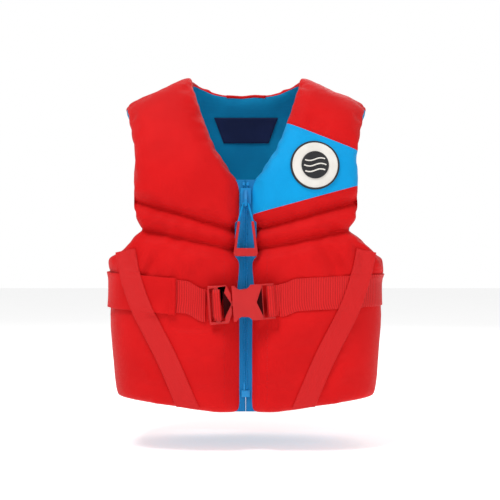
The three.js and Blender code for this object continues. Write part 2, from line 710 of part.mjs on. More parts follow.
/** The belt: both webbings, the part round the back and the sleeve on the right. */
function addBelt() {
  const { thickness, beltWidth } = WEBBING;
  const { sideX, sideZ } = BELT;
  const face = skin(GAP, GAP + thickness);
  const front = block([-FAR, -FAR, -FAR], [FAR, -GAP / 2, FAR]);
  const socketTail = SOCKET_END.end + 6;
  const plugTail = PLUG.left - 6;
  const left = [onBuckle(socketTail - 2), [60, 138.5], [sideX, sideZ], [FAR, sideZ]];
  const right = [onBuckle(plugTail + 2), [-70, 133], [-SLEEVE.endX, 134.5], [-sideX, sideZ], [-FAR, sideZ]];
  const leftBand = face.intersect(prismY(strip(left, beltWidth), -FAR, -GAP / 2));
  const leftLoop = barLoop(SOCKET_END.barLeft, SOCKET_END.barRight, socketTail);
  add(jacket, "belt_webbing_left", leftBand.add(leftLoop), COLOURS.webbing);
  const rightBand = face.intersect(prismY(strip(right, beltWidth), -FAR, -GAP / 2));
  const hidden = block([-SLEEVE.endX - 30, -FAR, -FAR], [FAR, FAR, FAR]);
  const rightLoop = barLoop(PLUG.barLeft, PLUG.barRight, plugTail);
  add(jacket, "belt_webbing_right", rightBand.intersect(hidden).add(rightLoop), COLOURS.webbing);
  const band = block([-FAR, GAP / 2, sideZ - beltWidth / 2], [FAR, FAR, sideZ + beltWidth / 2]);
  add(jacket, "belt_webbing_back", face.intersect(band), COLOURS.webbing);
  const rise = 2 * GAP + thickness;
  const cover = skin(rise, rise + SLEEVE.thickness).intersect(front);
  const flap = cover.intersect(prismY(strip(right.slice(2), SLEEVE.width)));
  add(jacket, "belt_sleeve_right", flap, COLOURS.red);
}

/** The two diagonal straps, which step over the belt. */
function addStraps() {
  const { thickness, strapWidth, beltWidth } = WEBBING;
  const over = 3 * GAP + thickness + SLEEVE.thickness;
  const route = smooth(STRAP_ROUTE, 12);
  const low = skin(GAP, GAP + thickness);
  const high = skin(GAP, over + thickness);
  const beneath = torso(-over);
  const zone = (side, half) => {
    const { endX } = SLEEVE;
    return prismY(strip([[0, BUCKLE.z - 3], [endX * side, 136], [BELT.sideX * side, BELT.sideZ]], 2 * half));
  };
  for (const [name, side] of SIDES) {
    const outline = prismY(mirrored(insetOutline(frontOutline, 0.5), side), -FAR, -SIDE_SEAM);
    const lane = prismY(strip(mirrored(route, side), strapWidth)).intersect(outline);
    const half = beltWidth / 2 + 3;
    const bump = high.intersect(zone(side, half + thickness)).subtract(beneath.intersect(zone(side, half)));
    add(jacket, `diagonal_strap_${name}`, low.subtract(zone(side, half)).add(bump).intersect(lane), COLOURS.webbing);
  }
}

addPanels();
addNeckBinding();
addPatches();
addZip();
addSlider();
addPull();
addSocket();
addPlug();
addArms();
jacket.add(buckle);
addBelt();
addStraps();

export default jacket;
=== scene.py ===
"""A youth foam life jacket: swelled panels, zip, waist belt with a buckle, and diagonal straps."""
import logging
import math
from dataclasses import dataclass, field
from enum import Enum
from typing import Callable, Iterable, Optional, Sequence

import bmesh
import bpy
from mathutils import Matrix, Vector, noise
from mathutils.bvhtree import BVHTree


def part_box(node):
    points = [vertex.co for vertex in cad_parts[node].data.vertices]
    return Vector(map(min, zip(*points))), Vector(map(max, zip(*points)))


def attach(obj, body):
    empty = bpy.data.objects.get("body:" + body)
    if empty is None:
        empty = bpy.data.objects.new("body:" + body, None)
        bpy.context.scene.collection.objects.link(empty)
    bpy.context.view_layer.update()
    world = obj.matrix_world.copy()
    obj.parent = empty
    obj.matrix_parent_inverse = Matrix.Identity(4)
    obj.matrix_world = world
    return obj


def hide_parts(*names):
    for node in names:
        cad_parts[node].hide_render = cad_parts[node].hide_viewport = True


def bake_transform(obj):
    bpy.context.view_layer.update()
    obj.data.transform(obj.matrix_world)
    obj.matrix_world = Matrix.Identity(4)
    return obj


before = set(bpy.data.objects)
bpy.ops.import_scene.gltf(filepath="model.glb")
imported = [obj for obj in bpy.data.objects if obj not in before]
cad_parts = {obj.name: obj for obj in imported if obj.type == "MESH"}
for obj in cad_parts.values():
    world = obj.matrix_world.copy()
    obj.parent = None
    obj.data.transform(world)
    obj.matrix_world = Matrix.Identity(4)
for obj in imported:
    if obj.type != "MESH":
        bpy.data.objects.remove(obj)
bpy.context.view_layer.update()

LOG = logging.getLogger("life_jacket")
MM = 0.001


# ---------------------------------------------------------------- layout read from the frame


class Side(Enum):
    """The wearer's right or left."""

    RIGHT = -1
    LEFT = 1

    @property
    def word(self) -> str:
        """The side's name inside the names of the nodes."""
        return self.name.lower()


def low(node: str) -> Vector:
    """The lowest corner of a node's box."""
    return Vector(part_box(node)[0])


def high(node: str) -> Vector:
    """The highest corner of a node's box."""
    return Vector(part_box(node)[1])


def middle(node: str) -> Vector:
    """The middle of a node's box."""
    return (low(node) + high(node)) / 2


@dataclass(frozen=True)
class SeamLine:
    """A seam across a front, straight when seen from the front: z = rise + slope * |x|."""

    rise: float
    slope: float

    def height(self, x: float) -> float:
        """Height of the seam at a distance from the middle."""
        return HEM + self.rise + self.slope * abs(x)

    def distance(self, point: Vector) -> float:
        """Signed distance of a point above the seam, seen from the front."""
        return (point.z - self.height(point.x)) / math.hypot(1.0, self.slope)


HEM = low("front_shell_right_lower").z
UPPER_SEAM = SeamLine(213 * MM, 0.28)
LOWER_FOLD = SeamLine(190 * MM, 0.217)
YOKE_TOP = SeamLine(362 * MM, -0.39)
YOKE_BOTTOM = SeamLine(232 * MM, 0.274)
BACK_SEAM = HEM + 215 * MM
DOME_START = HEM + 240 * MM
DOME_RISE = 164 * MM
HALF_WIDTH = high("back_shell_lower").x
HALF_DEPTH = high("back_shell_lower").y
SIDE_SEAM = high("side_shell_left").y + 0.15 * MM
UNDERARM = high("side_shell_left").z + 6 * MM
ZIP_PLANE = middle("zip_tape_left").y
CORNER_POWER = 4.5
BELT_LOW = low("belt_webbing_back").z
BELT_HIGH = high("belt_webbing_back").z
BELT_WIDTH = BELT_HIGH - BELT_LOW
BELT_MIDDLE = (BELT_LOW + BELT_HIGH) / 2
STRAP_WIDTH = 24 * MM
STRAP_ROUTE = [(141, 192), (133, 157), (120, 122), (92, 67), (67, 9)]
BUCKLE_TILT = math.radians(4)
BUCKLE_ORIGIN = Vector((-4 * MM, low("buckle_socket").y + 11 * MM, HEM + 131 * MM))


def outward(point: Vector) -> Vector:
    """The direction out of the torso form at a point, by its superellipse and its dome."""
    power = CORNER_POWER - 1
    flat = Vector(
        (
            math.copysign((abs(point.x) / HALF_WIDTH) ** power, point.x) / HALF_WIDTH,
            math.copysign((abs(point.y) / HALF_DEPTH) ** power, point.y) / HALF_DEPTH,
            0.0,
        )
    )
    if point.z <= DOME_START:
        return flat.normalized() if flat.length > 0 else Vector((0, 0, 1))
    lift = (point.z - DOME_START) / DOME_RISE
    dome = Vector((0.0, point.y / HALF_DEPTH**2, lift / DOME_RISE))
    return dome.normalized() if dome.length > 0 else Vector((0, 0, 1))


def falloff(distance: float, width: float) -> float:
    """A bell that is 1 at no distance and fades over a width."""
    return math.exp(-((distance / width) ** 2))


# ---------------------------------------------------------------- shader building


class Tree:
    """A short way to write a node tree."""

    def __init__(self, tree: bpy.types.NodeTree) -> None:
        self.tree = tree

    def add(self, kind: str, inputs: Optional[dict] = None, **settings: object) -> bpy.types.Node:
        """Adds a node.

        Args:
            kind: The node's type name.
            inputs: Input index or name to a value or to the socket that feeds it.
            settings: The node's own properties.

        Returns:
            The new node.
        """
        made = self.tree.nodes.new(kind)
        for key, value in settings.items():
            setattr(made, key, value)
        for key, value in (inputs or {}).items():
            if isinstance(value, bpy.types.NodeSocket):
                self.tree.links.new(value, made.inputs[key])
            else:
                made.inputs[key].default_value = value
        return made

    def math(self, operation: str, first: object, second: object = 0.0) -> bpy.types.NodeSocket:
        """Adds a math node and returns its value."""
        return self.add("ShaderNodeMath", {0: first, 1: second}, operation=operation).outputs[0]

    def noise(self, vector: object, scale: float, detail: float = 3.0) -> bpy.types.NodeSocket:
        """Adds a noise texture and returns its value."""
        return self.add("ShaderNodeTexNoise", {"Vector": vector, "Scale": scale, "Detail": detail}).outputs[0]

    def mix(self, share: object, first: object, second: object) -> bpy.types.NodeSocket:
        """Mixes two colours and returns the result."""
        made = self.add("ShaderNodeMix", data_type="RGBA")
        for index, value in ((0, share), (6, first), (7, second)):
            if isinstance(value, bpy.types.NodeSocket):
                self.tree.links.new(value, made.inputs[index])
            else:
                made.inputs[index].default_value = value
        return made.outputs[2]

    def band(self, value: object, start: float, end: float) -> bpy.types.NodeSocket:
        """Maps a value to 0..1 smoothly between two limits."""
        made = self.add(
            "ShaderNodeMapRange",
            {0: value, 1: start, 2: end},
            interpolation_type="SMOOTHSTEP",
        )
        return made.outputs[0]


def effect(name: str, inputs: dict[str, str], outputs: dict[str, str]) -> tuple[Tree, object, object]:
    """Starts a shader node group with named inputs and outputs.

    Args:
        name: The group's name.
        inputs: Input name to socket type.
        outputs: Output name to socket type.

    Returns:
        The tree, its input sockets and its output node.
    """
    group = bpy.data.node_groups.new(name, "ShaderNodeTree")
    for key, kind in inputs.items():
        group.interface.new_socket(name=key, in_out="INPUT", socket_type=kind)
    for key, kind in outputs.items():
        group.interface.new_socket(name=key, in_out="OUTPUT", socket_type=kind)
    tree = Tree(group)
    return tree, tree.add("NodeGroupInput").outputs, tree.add("NodeGroupOutput")


def weave_effect() -> bpy.types.NodeTree:
    """A plain weave in three directions: height of the threads and a mask of painted shade in the gaps
    between them.
    """
    tree, given, out = effect(
        "plain_weave",
        {"Vector": "NodeSocketVector", "Threads": "NodeSocketFloat"},
        {"Height": "NodeSocketFloat", "Thread": "NodeSocketFloat"},
    )
    parts = tree.add("ShaderNodeSeparateXYZ", {0: given["Vector"]}).outputs
    waves = [tree.math("SINE", tree.math("MULTIPLY", part, given["Threads"])) for part in parts]
    pairs = [
        tree.math("MULTIPLY", waves[0], waves[2]),
        tree.math("MULTIPLY", waves[1], waves[2]),
        tree.math("MULTIPLY", waves[0], waves[1]),
    ]
    total = tree.math("ADD", tree.math("ADD", pairs[0], pairs[1]), pairs[2])
    tree.tree.links.new(total, out.inputs["Height"])
    tree.tree.links.new(tree.band(total, -1.0, 1.0), out.inputs["Thread"])
    return tree.tree


def mottle_effect() -> bpy.types.NodeTree:
    """Slow and fine changes of tone over cloth or moulded plastic."""
    tree, given, out = effect(
        "soft_mottle",
        {"Vector": "NodeSocketVector", "Scale": "NodeSocketFloat"},
        {"Tone": "NodeSocketFloat", "Grain": "NodeSocketFloat"},
    )
    slow = tree.add("ShaderNodeTexNoise", {"Vector": given["Vector"], "Scale": given["Scale"]}).outputs[0]
    fast_scale = tree.math("MULTIPLY", given["Scale"], 14.0)
    fast = tree.add("ShaderNodeTexNoise", {"Vector": given["Vector"], "Scale": fast_scale}).outputs[0]
    tree.tree.links.new(tree.band(slow, 0.3, 0.7), out.inputs["Tone"])
    tree.tree.links.new(fast, out.inputs["Grain"])
    return tree.tree


def rib_effect() -> bpy.types.NodeTree:
    """Ribs across a webbing and fine threads along it, by the piece's own UV map in metres, with a mask of
    painted shade between the ribs.
    """
    tree, given, out = effect(
        "webbing_ribs",
        {"Vector": "NodeSocketVector", "Pitch": "NodeSocketFloat"},
        {"Height": "NodeSocketFloat", "Shade": "NodeSocketFloat"},
    )
    parts = tree.add("ShaderNodeSeparateXYZ", {0: given["Vector"]}).outputs
    turns = tree.math("DIVIDE", 2 * math.pi, given["Pitch"])
    rib = tree.math("SINE", tree.math("MULTIPLY", parts[0], turns))
    thread = tree.math("SINE", tree.math("MULTIPLY", parts[1], tree.math("MULTIPLY", turns, 1.6)))
    height = tree.math("ADD", rib, tree.math("MULTIPLY", thread, 0.3))
    tree.tree.links.new(height, out.inputs["Height"])
    # Shade is painted shade: darker in the hollows between the ribs.
    tree.tree.links.new(tree.band(rib, -1.0, 0.4), out.inputs["Shade"])
    return tree.tree


EFFECTS = {"weave": weave_effect(), "mottle": mottle_effect(), "ribs": rib_effect()}


def colour(red: float, green: float, blue: float) -> tuple[float, float, float, float]:
    """A linear colour with full alpha."""
    return (red, green, blue, 1.0)


def use_effect(tree: Tree, name: str, **inputs: object) -> bpy.types.bpy_prop_collection:
    """Places a shared effect in a material and returns its outputs."""
    made = tree.add("ShaderNodeGroup")
    made.node_tree = EFFECTS[name]
    for key, value in inputs.items():
        if isinstance(value, bpy.types.NodeSocket):
            tree.tree.links.new(value, made.inputs[key])
        else:
            made.inputs[key].default_value = value
    return made.outputs


def new_material(name: str) -> tuple[bpy.types.Material, Tree, bpy.types.Node]:
    """Starts a material and returns it with its tree and its shader."""
    material = bpy.data.materials.new(name)
    material.use_nodes = True
    tree = Tree(material.node_tree)
    return material, tree, material.node_tree.nodes["Principled BSDF"]


@dataclass(frozen=True)
class ClothFinish:
    """Woven cloth with a sheen, a thread pattern with painted shade in the gaps between threads, and a soft
    change of tone.
    """

    name: str
    lit: tuple[float, float, float, float]
    deep: tuple[float, float, float, float]
    thread_pitch: float = 0.9 * MM
    roughness: float = 0.62
    sheen: float = 0.06
    bump: float = 0.35

    def build(self) -> bpy.types.Material:
        """Builds the material."""
        material, tree, shader = new_material(self.name)
        place = tree.add("ShaderNodeTexCoord").outputs["Object"]
        weave = use_effect(tree, "weave", Vector=place, Threads=2 * math.pi / self.thread_pitch)
        mottle = use_effect(tree, "mottle", Vector=place, Scale=22.0)
        tone = tree.math("MULTIPLY", mottle["Tone"], 0.5)
        # Painted shade: the gaps between threads lean to the deep colour; the mottle tone is a real random
        # change.
        thread = tree.math("MULTIPLY", weave["Thread"], 0.35)
        share = tree.math("ADD", tone, thread)
        tree.tree.links.new(tree.mix(share, self.deep, self.lit), shader.inputs["Base Color"])
        rough = tree.math("ADD", tree.math("MULTIPLY", mottle["Grain"], 0.16), self.roughness - 0.08)
        tree.tree.links.new(rough, shader.inputs["Roughness"])
        grain = tree.math("MULTIPLY", mottle["Grain"], 0.8)
        height = tree.math("ADD", weave["Height"], grain)
        bump = tree.add(
            "ShaderNodeBump", {"Height": height, "Strength": self.bump, "Distance": 0.15 * MM}
        ).outputs[0]
        tree.tree.links.new(bump, shader.inputs["Normal"])
        shader.inputs["Sheen Weight"].default_value = self.sheen
        shader.inputs["Sheen Roughness"].default_value = 0.45
        shader.inputs["Specular IOR Level"].default_value = 0.12
        return material


@dataclass(frozen=True)
class WebbingFinish:
    """Ribbed webbing, with painted shade between the ribs."""

    name: str
    lit: tuple[float, float, float, float]
    deep: tuple[float, float, float, float]
    pitch: float = 2.1 * MM
    roughness: float = 0.55
    bump: float = 0.45

    def build(self) -> bpy.types.Material:
        """Builds the material."""
        material, tree, shader = new_material(self.name)
        along = tree.add("ShaderNodeUVMap", uv_map="Length").outputs[0]
        ribs = use_effect(tree, "ribs", Vector=along, Pitch=self.pitch)
        place = tree.add("ShaderNodeTexCoord").outputs["Object"]
        mottle = use_effect(tree, "mottle", Vector=place, Scale=30.0)
        worn = tree.math("ADD", tree.math("MULTIPLY", mottle["Tone"], 0.2), 0.8)
        # Painted shade between the ribs, scaled by a random change of tone.
        share = tree.math("MULTIPLY", ribs["Shade"], worn)
        tree.tree.links.new(tree.mix(share, self.deep, self.lit), shader.inputs["Base Color"])
        rough = tree.math("ADD", tree.math("MULTIPLY", mottle["Grain"], 0.2), self.roughness - 0.1)
        tree.tree.links.new(rough, shader.inputs["Roughness"])
        bump = tree.add(
            "ShaderNodeBump", {"Height": ribs["Height"], "Strength": self.bump, "Distance": 0.35 * MM}
        ).outputs[0]
        tree.tree.links.new(bump, shader.inputs["Normal"])
        shader.inputs["Sheen Weight"].default_value = 0.04
        shader.inputs["Specular IOR Level"].default_value = 0.22
        return material


@dataclass(frozen=True)
class PlasticFinish:
    """Moulded plastic or soft rubber, with a fine grain, a random change of tone and a painted highlight
    along its convex edges.
    """

    name: str
    lit: tuple[float, float, float, float]
    deep: tuple[float, float, float, float]
    roughness: float = 0.35
    coat: float = 0.15
    gloss: float = 0.35
    bump: float = 0.12

    def build(self) -> bpy.types.Material:
        """Builds the material."""
        material, tree, shader = new_material(self.name)
        place = tree.add("ShaderNodeTexCoord").outputs["Object"]
        mottle = use_effect(tree, "mottle", Vector=place, Scale=60.0)
        # Painted highlight: convex edges are mixed towards the lit colour.
        edge = tree.band(tree.add("ShaderNodeNewGeometry").outputs["Pointiness"], 0.52, 0.62)
        share = tree.math("ADD", tree.math("MULTIPLY", mottle["Tone"], 0.5), tree.math("MULTIPLY", edge, 0.5))
        tree.tree.links.new(tree.mix(share, self.deep, self.lit), shader.inputs["Base Color"])
        rough = tree.math("ADD", tree.math("MULTIPLY", mottle["Grain"], 0.2), self.roughness - 0.1)
        tree.tree.links.new(rough, shader.inputs["Roughness"])
        fine = tree.noise(place, 2600.0, 2.0)
        bump = tree.add(
            "ShaderNodeBump", {"Height": fine, "Strength": self.bump, "Distance": 0.1 * MM}
        ).outputs[0]
        tree.tree.links.new(bump, shader.inputs["Normal"])
        shader.inputs["Coat Weight"].default_value = self.coat
        shader.inputs["Specular IOR Level"].default_value = self.gloss
        shader.inputs["Coat Roughness"].default_value = 0.25
        return material


FINISHES = {
    "shell_red": ClothFinish("red nylon", colour(0.68, 0.005, 0.006), colour(0.56, 0.002, 0.003)),
    "shell_blue": ClothFinish("bright blue nylon", colour(0.0, 0.36, 0.76), colour(0.0, 0.30, 0.66)),
    "lining_blue": ClothFinish(
        "blue lining", colour(0.0, 0.26, 0.50), colour(0.0, 0.18, 0.38), thread_pitch=1.4 * MM, roughness=0.7
    ),
    "webbing_red": WebbingFinish(
        "red webbing", colour(0.66, 0.008, 0.009), colour(0.46, 0.003, 0.004), pitch=2.8 * MM
    ),
    "strap_red": WebbingFinish(
        "red strap webbing", colour(0.64, 0.008, 0.009), colour(0.56, 0.004, 0.005), pitch=1.3 * MM
    ),
    "zip_tape": WebbingFinish(
        "zip tape", colour(0.0, 0.20, 0.50), colour(0.0, 0.13, 0.36), pitch=1.0 * MM, roughness=0.6
    ),
    "zip_plastic": PlasticFinish("zip plastic", colour(0.0, 0.24, 0.58), colour(0.0, 0.17, 0.45)),
    "plastic_red": PlasticFinish(
        "red moulding", colour(0.58, 0.007, 0.008), colour(0.50, 0.004, 0.005), roughness=0.42
    ),
    "cord_blue": ClothFinish(
        "blue cord", colour(0.0, 0.36, 0.78), colour(0.0, 0.2, 0.5), thread_pitch=0.7 * MM, bump=0.6
    ),
    "badge_white": PlasticFinish(
        "off-white patch", colour(0.82, 0.79, 0.74), colour(0.70, 0.67, 0.62), roughness=0.6, coat=0.0
    ),
    "badge_dark": PlasticFinish(
        "dark patch", colour(0.022, 0.022, 0.024), colour(0.012, 0.012, 0.014), roughness=0.55, coat=0.0
    ),
    "label_navy": ClothFinish(
        "navy label", colour(0.012, 0.022, 0.085), colour(0.006, 0.012, 0.05), thread_pitch=0.6 * MM
    ),
    # Near-black red painted shade for the openings of the buckle, which are only in shade.
    "window_painted_shade": PlasticFinish(
        "shaded window",
        colour(0.035, 0.001, 0.002),
        colour(0.02, 0.001, 0.001),
        roughness=0.8,
        coat=0.0,
        gloss=0.05,
    ),
    "thread_red": ClothFinish("red thread", colour(0.62, 0.02, 0.026), colour(0.42, 0.006, 0.01)),
}
MATERIALS = {name: finish.build() for name, finish in FINISHES.items()}


# ---------------------------------------------------------------- mesh helpers


def piece_from(bm: bmesh.types.BMesh, name: str, finish: str, smooth: bool = True) -> bpy.types.Object:
    """Turns a bmesh into an object of the scene.

    Args:
        bm: The mesh, which is freed.
        name: The piece's name.
        finish: A key of MATERIALS.
        smooth: Whether the faces shade smoothly.

    Returns:
        The new object.
    """
    for face in bm.faces:
        face.smooth = smooth
    mesh = bpy.data.meshes.new(name)
    bm.to_mesh(mesh)
    bm.free()
    mesh.materials.append(MATERIALS[finish])
    made = bpy.data.objects.new(name, mesh)
    bpy.context.scene.collection.objects.link(made)
    return made


def finish_piece(made: bpy.types.Object, body: str, slot: str, *nodes: str) -> bpy.types.Object:
    """Rides a piece on a body and hides the nodes that it stands for."""
    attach(made, body)
    if nodes:
        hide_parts(*nodes)
    LOG.info("%s: %d faces", made.name, len(made.data.polygons))
    return made


def copied_nodes(*names: str) -> bmesh.types.BMesh:
    """A mesh with merged copies of CAD nodes."""
    bm = bmesh.new()
    for name in names:
        bm.from_mesh(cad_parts[name].data)
    bmesh.ops.remove_doubles(bm, verts=bm.verts, dist=0.001 * MM)
    return bm


def placed(made: bpy.types.Object) -> list[tuple[bpy.types.MeshVertex, Vector, Vector]]:
    """Each vertex of an object with its place and its normal, read before any of them moves."""
    return [(vertex, vertex.co.copy(), vertex.normal.copy()) for vertex in made.data.vertices]


def run_lengths(points: Sequence[Vector], start: float = 0.0) -> list[float]:
    """Length of a run of points up to each of them, from a start."""
    lengths = [start]
    for first, second in zip(points, points[1:]):
        lengths.append(lengths[-1] + (second - first).length)
    return lengths


def woven_grid(
    rows: int, columns: int, spot: Callable[[int, int], tuple[Vector, tuple[float, float]]]
) -> tuple[bmesh.types.BMesh, dict[bmesh.types.BMVert, int]]:
    """A grid whose "Length" UV map gives metres along it and across it.

    Args:
        rows: Steps along the grid.
        columns: Steps across it.
        spot: The place and the UV of a row and a column.

    Returns:
        The mesh, and the row of each vertex.
    """
    bm = bmesh.new()
    bmesh.ops.create_grid(bm, x_segments=rows, y_segments=columns, size=0.5)
    layer = bm.loops.layers.uv.new("Length")
    row_of: dict[bmesh.types.BMVert, int] = {}
    uv_of: dict[bmesh.types.BMVert, tuple[float, float]] = {}
    for vertex in bm.verts:
        row_of[vertex] = round((vertex.co.x + 0.5) * rows)
        column = round((vertex.co.y + 0.5) * columns)
        vertex.co, uv_of[vertex] = spot(row_of[vertex], column)
    for face in bm.faces:
        for loop in face.loops:
            loop[layer].uv = uv_of[loop.vert]
    return bm, row_of


def thicken(made: bpy.types.Object, thickness: float, offset: float = 1.0) -> None:
    """Gives a sheet its thickness, outwards where the offset is 1."""
    wall = made.modifiers.new("thickness", "SOLIDIFY")
    wall.thickness = thickness
    wall.offset = offset


def soften_edges(made: bpy.types.Object, width: float) -> None:
    """Rounds the edges of a thin piece."""
    rounding = made.modifiers.new("soft edge", "BEVEL")
    rounding.width = width
    rounding.segments = 2
    rounding.limit_method = "ANGLE"
    rounding.angle_limit = math.radians(50)


def applied(made: bpy.types.Object) -> None:
    """Applies every modifier of an object to its mesh."""
    graph = bpy.context.evaluated_depsgraph_get()
    mesh = bpy.data.meshes.new_from_object(made.evaluated_get(graph))
    made.modifiers.clear()
    made.data = mesh


def moulded(
    node: str, finish: str, slot: str, body: str, width: float, segments: int = 3
) -> bpy.types.Object:
    """A moulded piece: the node's own form with planar faces joined and rounded edges.

    Args:
        node: The CAD node.
        finish: A key of MATERIALS.
        slot: Not used.
        body: The body that it rides on.
        width: Width of the rounding, in metres.
        segments: Steps of the rounding.

    Returns:
        The new piece.
    """
    bm = copied_nodes(node)
    bmesh.ops.dissolve_limit(bm, angle_limit=math.radians(2), verts=bm.verts, edges=bm.edges)
    made = piece_from(bm, f"{node}_moulding", finish)
    bevel = made.modifiers.new("rounding", "BEVEL")
    bevel.width = width
    bevel.segments = segments
    bevel.limit_method = "ANGLE"
    bevel.angle_limit = math.radians(35)
    bevel.harden_normals = False
    weighted = made.modifiers.new("even shading", "WEIGHTED_NORMAL")
    weighted.keep_sharp = True
    return finish_piece(made, body, slot, node)


# ---------------------------------------------------------------- padded panels


PANEL_NODES = [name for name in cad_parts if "_shell_" in name or "foam_" in name or "lining" in name]


@dataclass
class PaddedBody:
    """All panels of cloth over foam, swelled together and then cut apart along their seams."""

    voxel: float = 5 * MM
    softening: int = 7
    shoulder_lift: float = 6 * MM
    zip_pull_in: float = 4.5 * MM
    waist_pull_in: float = 0.015
    fold_depth: float = 13 * MM
    fold_width: float = 8 * MM
    seam_depth: float = 3 * MM
    belt_depth: float = 3 * MM
    crease_depth: float = 4 * MM
    crease_width: float = 2.6 * MM
    yoke_crease_depth: float = 1.6 * MM
    back_crease_depth: float = 2.5 * MM
    side_crease_depth: float = 1.5 * MM
    pucker_depth: float = 1.1 * MM
    swell_noise: float = 0.6 * MM
    pressure: float = 5.0
    spare_cloth: float = -0.03
    cap: float = 9 * MM
    frames: int = 20
    lining_limit: float = -0.35
    wrinkle_depth: float = 9 * MM
    zip_way: float = 7 * MM
    fill: float = 0.85
    pieces: dict[str, bpy.types.Object] = field(default_factory=dict)

    def build(self) -> None:
        """Builds every panel."""
        body = self.start()
        self.soften(body)
        self.press_folds(body, 1.0)
        self.swell(body)
        subdivision = body.modifiers.new("fine", "SUBSURF")
        subdivision.levels = 1
        subdivision.render_levels = 1
        applied(body)
        self.press_creases(body)
        self.clear_zip(body)
        self.cut_apart(body)

    def start(self) -> bpy.types.Object:
        """The remeshed union of every panel's solids."""
        bm = copied_nodes(*PANEL_NODES)
        body = piece_from(bm, "padded_body", "shell_red")
        remesh = body.modifiers.new("even mesh", "REMESH")
        remesh.mode = "VOXEL"
        remesh.voxel_size = self.voxel
        applied(body)
        return body

    def soften(self, body: bpy.types.Object) -> None:
        """Rounds the edges of the panels, and the armholes and the neck most."""
        bm = bmesh.new()
        bm.from_mesh(body.data)
        for _ in range(self.softening):
            bmesh.ops.smooth_vert(
                bm, verts=bm.verts, factor=0.5, use_axis_x=True, use_axis_y=True, use_axis_z=True
            )
        for vertex in bm.verts:
            lift = min(1.0, max(0.0, (vertex.co.z - HEM - 310 * MM) / (90 * MM)))
            vertex.co.z += self.shoulder_lift * lift * lift
            self.draw_in(vertex)
        bm.to_mesh(body.data)
        bm.free()

    def draw_in(self, vertex: bmesh.types.BMVert) -> None:
        """Draws the fronts together along the zip, and the waist in a little at the sides."""
        x, y, z = vertex.co
        below_neck = min(1.0, max(0.0, (HEM + 285 * MM - z) / (25 * MM)))
        if y < -SIDE_SEAM and abs(x) < 40 * MM:
            vertex.co.x -= math.copysign(self.zip_pull_in * below_neck * (1 - abs(x) / (40 * MM)), x)
        under_arm = min(1.0, max(0.0, (UNDERARM - z) / (40 * MM)))
        vertex.co.x *= 1 - self.waist_pull_in * under_arm

    def press_folds(self, body: bpy.types.Object, share: float) -> None:
        """Presses the broad folds of the fronts and the seams inwards."""
        for vertex, point, normal in placed(body):
            out = outward(point)
            if normal.dot(out) < 0.3:
                continue
            depth = 0.0
            if point.y < -SIDE_SEAM:
                for seam in (UPPER_SEAM, LOWER_FOLD):
                    depth += self.fold_depth * falloff(seam.distance(point), self.fold_width)
            elif point.y > SIDE_SEAM:
                depth += self.fold_depth * 0.8 * falloff(point.z - BACK_SEAM, self.fold_width)
            if point.z < UNDERARM:
                depth += self.seam_depth * falloff(abs(point.y) - SIDE_SEAM, 5 * MM)
            depth += self.belt_depth * falloff(point.z - BELT_MIDDLE, BELT_WIDTH * 0.55)
            vertex.co = point - out * depth * share

    def hold(self, point: Vector, normal: Vector) -> float:
        """How firmly cloth is held at a point: 1 in the seams and under the belt, 0 where it is free."""
        out = outward(point)
        facing = normal.dot(out)
        if facing < -0.2:
            return 1.0
        held = 0.0
        if point.y < -SIDE_SEAM:
            for seam in (UPPER_SEAM, LOWER_FOLD):
                held = max(held, falloff(seam.distance(point), 4.5 * MM))
            held = max(held, 0.8 * falloff(abs(point.x) - 9 * MM, 7 * MM))
            for side in Side:
                held = max(held, 0.9 * falloff(strap_distance(point, side), STRAP_WIDTH * 0.45))
            held = max(held, 0.7 * falloff(YOKE_TOP.distance(point), 4 * MM) if point.x > 0 else 0.0)
            held = max(held, 0.7 * falloff(YOKE_BOTTOM.distance(point), 4 * MM) if point.x > 0 else 0.0)
        elif point.y > SIDE_SEAM:
            held = max(held, falloff(point.z - BACK_SEAM, 5 * MM))
        if point.z < UNDERARM:
            held = max(held, falloff(abs(point.y) - SIDE_SEAM, 5 * MM))
        else:
            held = max(held, falloff(point.y, 5 * MM))
        if abs(point.z - BELT_MIDDLE) < BELT_WIDTH * 0.5:
            held = 1.0
        if point.z < BELT_MIDDLE:
            side_hold = min(1.0, max(0.0, (abs(point.x) - 115 * MM) / (30 * MM)))
            held = max(held, 0.75 * side_hold)
        held = max(held, 0.9 * falloff(max(0.0, point.z - HEM - 14 * MM), 16 * MM))
        return min(held, 1.0)

    def swell(self, body: bpy.types.Object) -> None:
        """Swells the cloth over the foam by simulation, and caps how far it moves."""
        group = body.vertex_groups.new(name="held")
        rest = [vertex.co.copy() for vertex in body.data.vertices]
        for vertex in body.data.vertices:
            weight = self.hold(vertex.co, vertex.normal)
            if weight > 0.02:
                group.add([vertex.index], weight, "REPLACE")
        cloth = body.modifiers.new("swelling", "CLOTH")
        settings = cloth.settings
        settings.quality = 4
        settings.mass = 0.15
        settings.tension_stiffness = 12
        settings.compression_stiffness = 12
        settings.shear_stiffness = 4
        settings.bending_stiffness = 0.35
        settings.use_pressure = True
        settings.uniform_pressure_force = self.pressure
        settings.shrink_min = self.spare_cloth
        settings.shrink_max = self.spare_cloth
        settings.vertex_group_mass = "held"
        settings.pin_stiffness = 2.0
        settings.effector_weights.gravity = 0
        cloth.collision_settings.use_collision = False
        scene = bpy.context.scene
        for step in range(1, self.frames + 1):
            scene.frame_set(step)
        applied(body)
        scene.frame_set(1)
        for vertex, start in zip(body.data.vertices, rest):
            move = vertex.co - start
            if move.length > self.cap:
                vertex.co = start + move * (self.cap / move.length)
        bm = bmesh.new()
        bm.from_mesh(body.data)
        bmesh.ops.smooth_vert(
            bm, verts=bm.verts, factor=0.35, use_axis_x=True, use_axis_y=True, use_axis_z=True
        )
        bm.to_mesh(body.data)
        bm.free()

